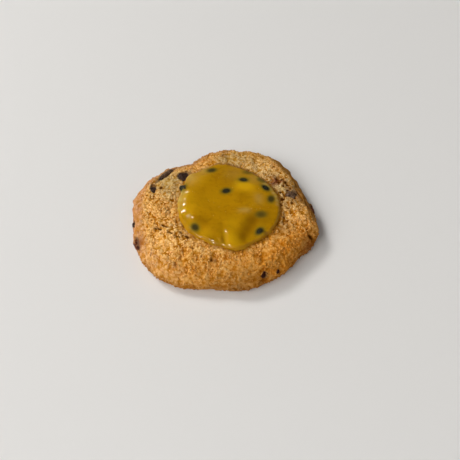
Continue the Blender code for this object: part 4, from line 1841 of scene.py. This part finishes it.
@dataclass
class Curd:
    """The pool of curd, and how its seeds colour it."""

    seed_length: float = 4.8
    seed_width: float = 3.5
    lobes: tuple[Bulge, ...] = (
        Bulge(2, 1.1, 18),
        Bulge(-42, 1.0, 15),
        Bulge(-112, -0.6, 16),
        Bulge(92, 1.3, 14),
        Bulge(134, 1.2, 9),
        Bulge(155, 0.6, 8),
    )
    half_width: float = 29 * MM
    lobe_span: Span = (0.55, 1.0)
    wave: float = 0.65 * MM
    wave_size: float = 3.4 * MM
    wave_seed: float = 8.0
    wave_span: Span = (0.80, 1.0)
    flare: float = 0.25 * MM
    flare_above: Span = (1.57, 0.3)
    flare_below: Span = (-1.2, -0.4)
    top_level: float = 1.2
    halo_reach: float = 1.35
    halo_least: float = 0.30
    halo_more: float = 0.45
    swells: tuple[Swell, ...] = (
        Swell(13.5, 10.5, -8, 7.0, 2.2, 0.55),
        Swell(13.0, 6.4, -8, 7.0, 1.8, -0.35),
        Swell(12.0, -7.2, -4, 5.0, 1.0, 0.28),
        Swell(12.5, -4.9, -4, 5.0, 1.0, -0.22),
        Swell(-7.6, -26.0, 155, 1.7, 0.8, 0.45),
        Swell(0.8, -26.0, 100, 3.0, 0.9, -0.45),
        Swell(-1.2, -26.6, 100, 0.9, 0.7, 0.45),
        Swell(4.0, -24.0, 97, 6.0, 1.8, 0.30),
        Swell(0.4, -25.0, 97, 6.0, 1.2, -0.30),
        Swell(9.5, -15.5, 66, 7.0, 2.0, 0.40),
        Swell(14.5, -18.5, 62, 8.0, 2.6, -0.45),
        Swell(-22.8, 8.8, 70, 1.4, 0.7, 0.45),
        Swell(-20.8, 3.4, 75, 2.0, 1.2, 0.30),
        Swell(-20.9, -5.9, 100, 2.0, 1.2, 0.30),
        Swell(-21.4, -10.4, 105, 1.4, 1.8, -0.25),
        Swell(-22.0, 6.0, 85, 1.4, 2.0, -0.30),
        Swell(-22.4, -3.8, 95, 1.4, 2.0, -0.30),
        Swell(-15.8, -12.0, 0, 0.7, 0.7, 0.32),
        Swell(-17.0, 0.0, 80, 9.0, 1.8, -0.20),
        Swell(-13.0, 15.0, 30, 7.0, 2.2, 0.35),
        Swell(-8.0, 12.0, 25, 6.0, 1.4, -0.20),
        Swell(-6.0, -8.0, 140, 6.0, 1.6, 0.22),
        Swell(-3.0, -14.0, 150, 5.0, 1.4, -0.20),
        Swell(5.0, 15.5, -20, 5.0, 1.2, 0.20),
    )
    # Painted light: brighter patches where the curd's surface is lit.
    painted_light_patches: tuple[Patch, ...] = patches(
        (10, 10.8, 3.2, 0.95), (15, 9.5, 2.8, 0.75), (5.0, -16, 3.4, 0.60), (3.5, -26, 3.4, 0.90),
        (7.5, -28, 2.4, 0.60), (-21.5, 4, 3.2, 0.95), (-21, -6, 3.4, 0.95), (-17, -16, 3.0, 0.50),
        (-14, 16, 4.0, 0.40), (-9, -24, 4.0, 0.50), (-8, 2, 5.0, 0.25), (20, -15, 2.6, 0.45),
    )
    shade_patches: tuple[Patch, ...] = patches(
        (15.4, -14.4, 2.8, 0.65), (13.0, -19.5, 2.4, 0.65), (10.5, -24.0, 1.8, 0.50),
        (17.0, -11.5, 2.4, 0.40), (22.0, -14.0, 2.6, 0.40), (10.0, -27.0, 2.4, 0.40),
        (-6.0, -26.0, 3.0, 0.40), (0.0, -27.0, 2.4, 0.35), (11.0, 2.6, 2.6, 0.35),
        (5.0, 15.0, 3.0, 0.25), (-10.5, -15.0, 2.4, 0.45), (-13.5, -13.0, 2.0, 0.35),
        (25, -10, 3.0, 0.25), (0, 15, 6.0, 0.20), (-14, 4, 4.0, 0.20), (-1.5, -20, 3.0, 0.25),
    )
    # Milky tone, and a painted highlight along the curd's left and right edges.
    milk_and_highlight_patches: tuple[Patch, ...] = patches(
        (-19, 16, 3.0, 0.25), (-12, 23.5, 2.5, 0.25), (19.6, 2.6, 1.8, 0.17),
        (20.0, -0.6, 1.8, 0.15), (13.6, -7.0, 1.3, 0.17), (11.4, -7.0, 1.3, 0.18),
        (9.2, -7.2, 1.3, 0.13), (23.6, 12.8, 0.9, 0.40), (25.4, 10.8, 0.8, 0.40),
        (27.0, 8.6, 0.8, 0.40), (28.4, 6.2, 0.8, 0.45), (29.4, 3.6, 0.8, 0.45),
        (30.0, 0.8, 0.8, 0.40), (30.2, -2.0, 0.8, 0.30), (-24.5, 6.5, 1.8, 0.55),
        (-25.0, 1.5, 1.8, 0.55), (-25.2, -4.0, 1.6, 0.40), (-20.0, 20.0, 2.2, 0.25),
        (6, 21, 4.0, 0.10), (18, 17, 3.0, 0.15),
    )

    def build(self, solid: bpy.types.Object, finish: bpy.types.Material) -> bpy.types.Object:
        """Makes the curd.

        Args:
            solid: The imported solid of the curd.
            finish: Its material.

        Returns:
            The piece.
        """
        low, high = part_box("passion_fruit_curd")
        middle = (low + high) / 2
        middle.z = 0.0
        grid, _ = SolidRays(
            solid,
            level=16.2 * MM,
            inset=1.6 * MM,
            segments=480,
            centre=middle,
            coarse_rings=2,
            coarse_to=0.04,
            fine_rings=78,
            upper_fan=16,
            lower_fan=10,
            base_rings=12,
            top_reach=2.0 * MM,
            rim_reach=0.8 * MM,
        ).cast()
        outward = grid.points[..., :2] - np.array(middle)[:2]
        turn = np.degrees(np.arctan2(outward[..., 1], outward[..., 0]))
        share = np.hypot(outward[..., 0], outward[..., 1]) / self.half_width
        grow = sum(lobe.over(turn) for lobe in self.lobes) * smooth_step(*self.lobe_span, share)
        waves = rough(grid.points * (1.0, 1.0, 0.0), self.wave_size, self.wave_seed)
        grow += self.wave * waves * smooth_step(*self.wave_span, share)
        outward /= np.maximum(np.linalg.norm(outward, axis=2, keepdims=True), 1e-9)
        grid.points[..., :2] += outward * grow[..., None]
        level = grid.level()
        edge = smooth_step(*self.flare_above, level) * smooth_step(*self.flare_below, level)
        up = np.where(level > self.top_level, 1.0, 0.0)
        raised = up * sum(swell.over(grid.points) for swell in self.swells)
        grid.push(raised + self.flare * edge)
        piece = add_object("curd", grid_mesh("curd", grid, self.regions(grid)))
        piece.data.materials.append(finish)
        return piece

    def regions(self, grid: PolarGrid) -> dict[str, np.ndarray]:
        """Where the curd carries painted light and painted shade, where it is milky with a painted
        highlight, and where it lies over a seed.

        Args:
            grid: The curd's points.

        Returns:
            The named attributes.
        """
        points = grid.points
        halo = np.zeros(points.shape[:2])
        core = np.zeros(points.shape[:2])
        for seed in SEEDS:
            along, across = turned(points, seed.x, seed.y, seed.heading)
            off = np.hypot(along / (self.seed_length / 2), across / (self.seed_width / 2))
            ring = np.exp(-0.5 * (off / self.halo_reach) ** 4)
            halo = np.maximum(halo, (self.halo_least + self.halo_more * seed.clear) * ring)
            inside = 1.0 - smooth_step(1.0 - seed.blur, 1.0 + seed.blur, off)
            core = np.maximum(core, seed.clear * inside)
        return {
            "glow": summed(self.painted_light_patches, points),
            "shade": summed(self.shade_patches, points),
            "milk": summed(self.milk_and_highlight_patches, points),
            "halo": halo,
            "seed": core,
        }


@dataclass
class Seeds:
    """The seeds that break the curd's surface, each a flat pointed oval lying in it."""

    length: float = 5.2 * MM
    width: float = 3.4 * MM
    thickness: float = 2.2 * MM
    taper: float = 0.35
    shown_from: float = 0.85

    def build(self, curd: bpy.types.Object, finish: bpy.types.Material) -> bpy.types.Object:
        """Makes the seeds that show clearly.

        Args:
            curd: The finished curd that they lie in.
            finish: Their material.

        Returns:
            One piece that holds them all.
        """
        surface = joined_tree([curd])
        bm = bmesh.new()
        for seed in SEEDS:
            if seed.clear >= self.shown_from:
                self.add(bm, seed, surface)
        mesh = bpy.data.meshes.new("passion_fruit_seeds")
        bm.to_mesh(mesh)
        bm.free()
        mesh.shade_smooth()
        mesh.materials.append(finish)
        return add_object("passion_fruit_seeds", mesh)

    def add(self, bm: bmesh.types.BMesh, seed: Seed, surface: BVHTree) -> None:
        """Adds one seed to the mesh.

        Args:
            bm: The mesh that gets it.
            seed: Where it lies.
            surface: The curd's faces.
        """
        above = Vector((seed.x * MM, seed.y * MM, 1.0))
        place, normal, _, _ = surface.ray_cast(above, Vector((0.0, 0.0, -1.0)))
        turn = Matrix.Rotation(math.radians(seed.heading), 4, "Z")
        lie = normal.to_track_quat("Z", "Y").to_matrix().to_4x4() @ turn
        middle = place + normal * (seed.proud * MM - self.thickness / 2)
        ball = bmesh.ops.create_icosphere(bm, subdivisions=4, radius=0.5)
        for vertex in ball["verts"]:
            narrow = 1.0 - self.taper * max(0.0, 2.0 * vertex.co.x) ** 2
            size = (self.length, self.width * narrow, self.thickness)
            vertex.co = Vector(a * b for a, b in zip(vertex.co, size))
        bmesh.ops.transform(bm, matrix=Matrix.Translation(middle) @ lie, verts=ball["verts"])


@dataclass
class Chocolate:
    """The pieces of chocolate, each refined from its packed block."""

    levels: int = 2
    weld: float = 0.01 * MM
    lump: float = 0.30 * MM
    lump_size: float = 1.6 * MM
    grit: float = 0.16 * MM
    grit_size: float = 0.6 * MM

    def build(self, solid: bpy.types.Object, finish: bpy.types.Material) -> bpy.types.Object:
        """Makes one piece.

        Args:
            solid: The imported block.
            finish: Its material.

        Returns:
            The piece.
        """
        bm = bmesh.new()
        bm.from_mesh(solid.data)
        bmesh.ops.remove_doubles(bm, verts=bm.verts, dist=self.weld)
        mesh = bpy.data.meshes.new(solid.name + "_fine")
        bm.to_mesh(mesh)
        bm.free()
        mesh.materials.append(finish)
        name = solid.name.replace("chocolate_chunk", "chocolate_piece")
        piece = add_object(name, mesh)
        rounding = piece.modifiers.new("rounding", "SUBSURF")
        rounding.subdivision_type = "SIMPLE"
        rounding.levels = rounding.render_levels = self.levels
        made_plain(piece)
        piece.data.shade_smooth()
        offsets = []
        for vertex in piece.data.vertices:
            bumps = self.lump * noise.noise(vertex.co / self.lump_size)
            bumps += self.grit * noise.noise(vertex.co / self.grit_size)
            offsets.append(vertex.normal * bumps)
        for vertex, offset in zip(piece.data.vertices, offsets):
            vertex.co += offset
        return piece


# ---- the studio -------------------------------------------------------------------------------


@dataclass(frozen=True)
class Lamp:
    """A soft rectangular light that looks at the cookie."""

    name: str
    azimuth: float
    elevation: float
    distance: float
    width: float
    height: float
    power: float
    color: Color
    glossy: bool = True
    diffuse: bool = True

    def place(self) -> Vector:
        """Where it hangs."""
        return toward(self.azimuth, self.elevation) * self.distance

    def build(self) -> None:
        """Makes the light."""
        light = bpy.data.lights.new(self.name, "AREA")
        light.shape = "RECTANGLE"
        light.size, light.size_y = self.width, self.height
        light.energy = self.power
        light.color = self.color
        lamp = bpy.data.objects.new(self.name, light)
        bpy.context.scene.collection.objects.link(lamp)
        lamp.visible_glossy = self.glossy
        lamp.visible_diffuse = self.diffuse
        lamp.location = self.place()
        lamp.rotation_euler = (-lamp.location).to_track_quat("-Z", "Y").to_euler()


def toward(azimuth: float, elevation: float) -> Vector:
    """The direction at an azimuth from +X and an elevation, both in degrees."""
    turn, lift = math.radians(azimuth), math.radians(elevation)
    level = math.cos(lift)
    return Vector((math.cos(turn) * level, math.sin(turn) * level, math.sin(lift)))


@dataclass
class Studio:
    """Pale floor, soft light from the back left, and the photograph's camera."""

    floor_half: float = 1.5
    floor_tone: Color = (0.80, 0.79, 0.775)
    floor_roughness: float = 0.7
    floor_grain: float = 1.2 * MM
    floor_relief: float = 0.02 * MM
    camera_place: Vector = field(default_factory=lambda: Vector((3.65, -180.35, 233.1)) * MM)
    camera_fall: float = 53.38
    focal_pixels: float = 500.0
    image_pixels: float = 460.0
    room: Color = (0.322, 0.316, 0.305)
    unlit: Color = (0.03, 0.03, 0.03)
    corner: Span = (90, 55)
    corner_reach: Span = (55, 30)
    lamps: tuple[Lamp, ...] = (
        Lamp("window", 146, 45, 4.0, 1.2, 1.0, 76.0, (1.0, 0.99, 0.97), glossy=False),
        Lamp("curtain", 215, 41, 4.0, 3.5, 2.5, 88.0, (1.0, 0.99, 0.98), glossy=False),
        Lamp("pane", 137, 45, 4.0, 0.36, 0.30, 70.0, (1.0, 0.99, 0.97), diffuse=False),
        Lamp("lampshade", 226, 42, 4.0, 0.34, 0.28, 340.0, (1.0, 0.99, 0.97), diffuse=False),
    )

    def build(self) -> None:
        """Makes the floor, the world, the lights and the camera."""
        self.floor()
        self.world()
        for lamp in self.lamps:
            lamp.build()
        self.camera()

    def floor(self) -> None:
        """A large pale sheet that the cookie stands on."""
        bm = bmesh.new()
        bmesh.ops.create_grid(bm, x_segments=8, y_segments=8, size=self.floor_half)
        mesh = bpy.data.meshes.new("floor")
        bm.to_mesh(mesh)
        bm.free()
        floor = add_object("floor", mesh)
        material = bpy.data.materials.new("floor")
        material.use_nodes = True
        wiring = Wiring(material.node_tree)
        shader = material.node_tree.nodes["Principled BSDF"]
        wiring.feed(shader.inputs["Roughness"], self.floor_roughness)
        wiring.feed(shader.inputs["Base Color"], self.floor_tone)
        place = wiring.node("ShaderNodeTexCoord").outputs["Object"]
        wiring.bump(shader, wiring.noise(place, self.floor_grain), self.floor_relief)
        mesh.materials.append(material)

    def world(self) -> None:
        """A dim room, with an unlit corner behind and above."""
        world = bpy.data.worlds.new("studio")
        bpy.context.scene.world = world
        world.use_nodes = True
        wiring = Wiring(world.node_tree)
        way = wiring.node("ShaderNodeTexCoord").outputs["Generated"]
        facing = wiring.dot(way, tuple(toward(*self.corner)))
        reach = (math.cos(math.radians(angle)) for angle in self.corner_reach)
        color = wiring.blend(wiring.fade(facing, *reach), self.room, self.unlit)
        wiring.feed(world.node_tree.nodes["Background"].inputs["Color"], color)

    def camera(self) -> None:
        """The photograph's camera."""
        data = bpy.data.cameras.new("camera")
        data.sensor_width = 36.0
        data.lens = self.focal_pixels / self.image_pixels * data.sensor_width
        data.clip_start = 0.01
        camera = bpy.data.objects.new("camera", data)
        camera.location = self.camera_place
        camera.rotation_euler = (math.radians(90 - self.camera_fall), 0.0, 0.0)
        bpy.context.scene.collection.objects.link(camera)
        bpy.context.scene.camera = camera


# ---- putting it together ------------------------------------------------------------------------


def settle(piece: bpy.types.Object, slot: Slot, *nodes: str) -> None:
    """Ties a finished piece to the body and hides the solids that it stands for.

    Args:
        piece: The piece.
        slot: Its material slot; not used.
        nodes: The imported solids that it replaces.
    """
    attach(piece, BODY)
    if nodes:
        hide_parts(*nodes)
    log.info("%s: %d faces", piece.name, len(piece.data.polygons))


def main() -> None:
    """Builds every piece in order."""
    logging.basicConfig(level=logging.INFO, format="%(name)s: %(message)s")
    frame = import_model()
    nodes = frame["nodes"]
    bpy.context.scene.view_settings.view_transform = "Standard"

    effects = Effects()
    crumb = CrumbFinish("baked_crumb", roughness=0.9, specular=0.0).build(effects)
    curd_finish = CurdFinish(
        "passion_fruit_curd",
        roughness=0.13,
        specular=0.24,
        subsurface=0.2,
        subsurface_reach=1.2 * MM,
    ).build(effects)
    seed_finish = SeedFinish("passion_fruit_seed", roughness=0.5, specular=0.04).build(effects)
    chocolate = {look: finish.build(effects) for look, finish in CHOCOLATE_FINISHES.items()}

    blocks = [nodes[name] for name in sorted(nodes) if name.startswith("chocolate_chunk")]
    curd = Curd().build(nodes["passion_fruit_curd"], curd_finish)
    settle(curd, Slot.CURD, "passion_fruit_curd")
    settle(Seeds().build(curd, seed_finish), Slot.SEED, "passion_fruit_curd")
    dough = Dough().build(nodes["cookie_crumb"], blocks, curd, crumb)
    settle(dough, Slot.CRUMB, "cookie_crumb")
    for grains in (
        Grains("coarse_grains", seed=5, spacing=1.6 * MM, size=1.5 * MM, facets=8, sink=0.40),
        Grains("fine_grains", seed=25, spacing=1.4 * MM, size=0.95 * MM, facets=6, sink=0.34),
    ):
        settle(grains.build(dough, crumb), Slot.CRUMB)
    for block in blocks:
        look = CHUNK_LOOKS.get(block.name, Look.PLAIN)
        settle(Chocolate().build(block, chocolate[look]), Slot.CHOCOLATE, block.name)
    Studio().build()


if __name__ == "__main__":
    main()
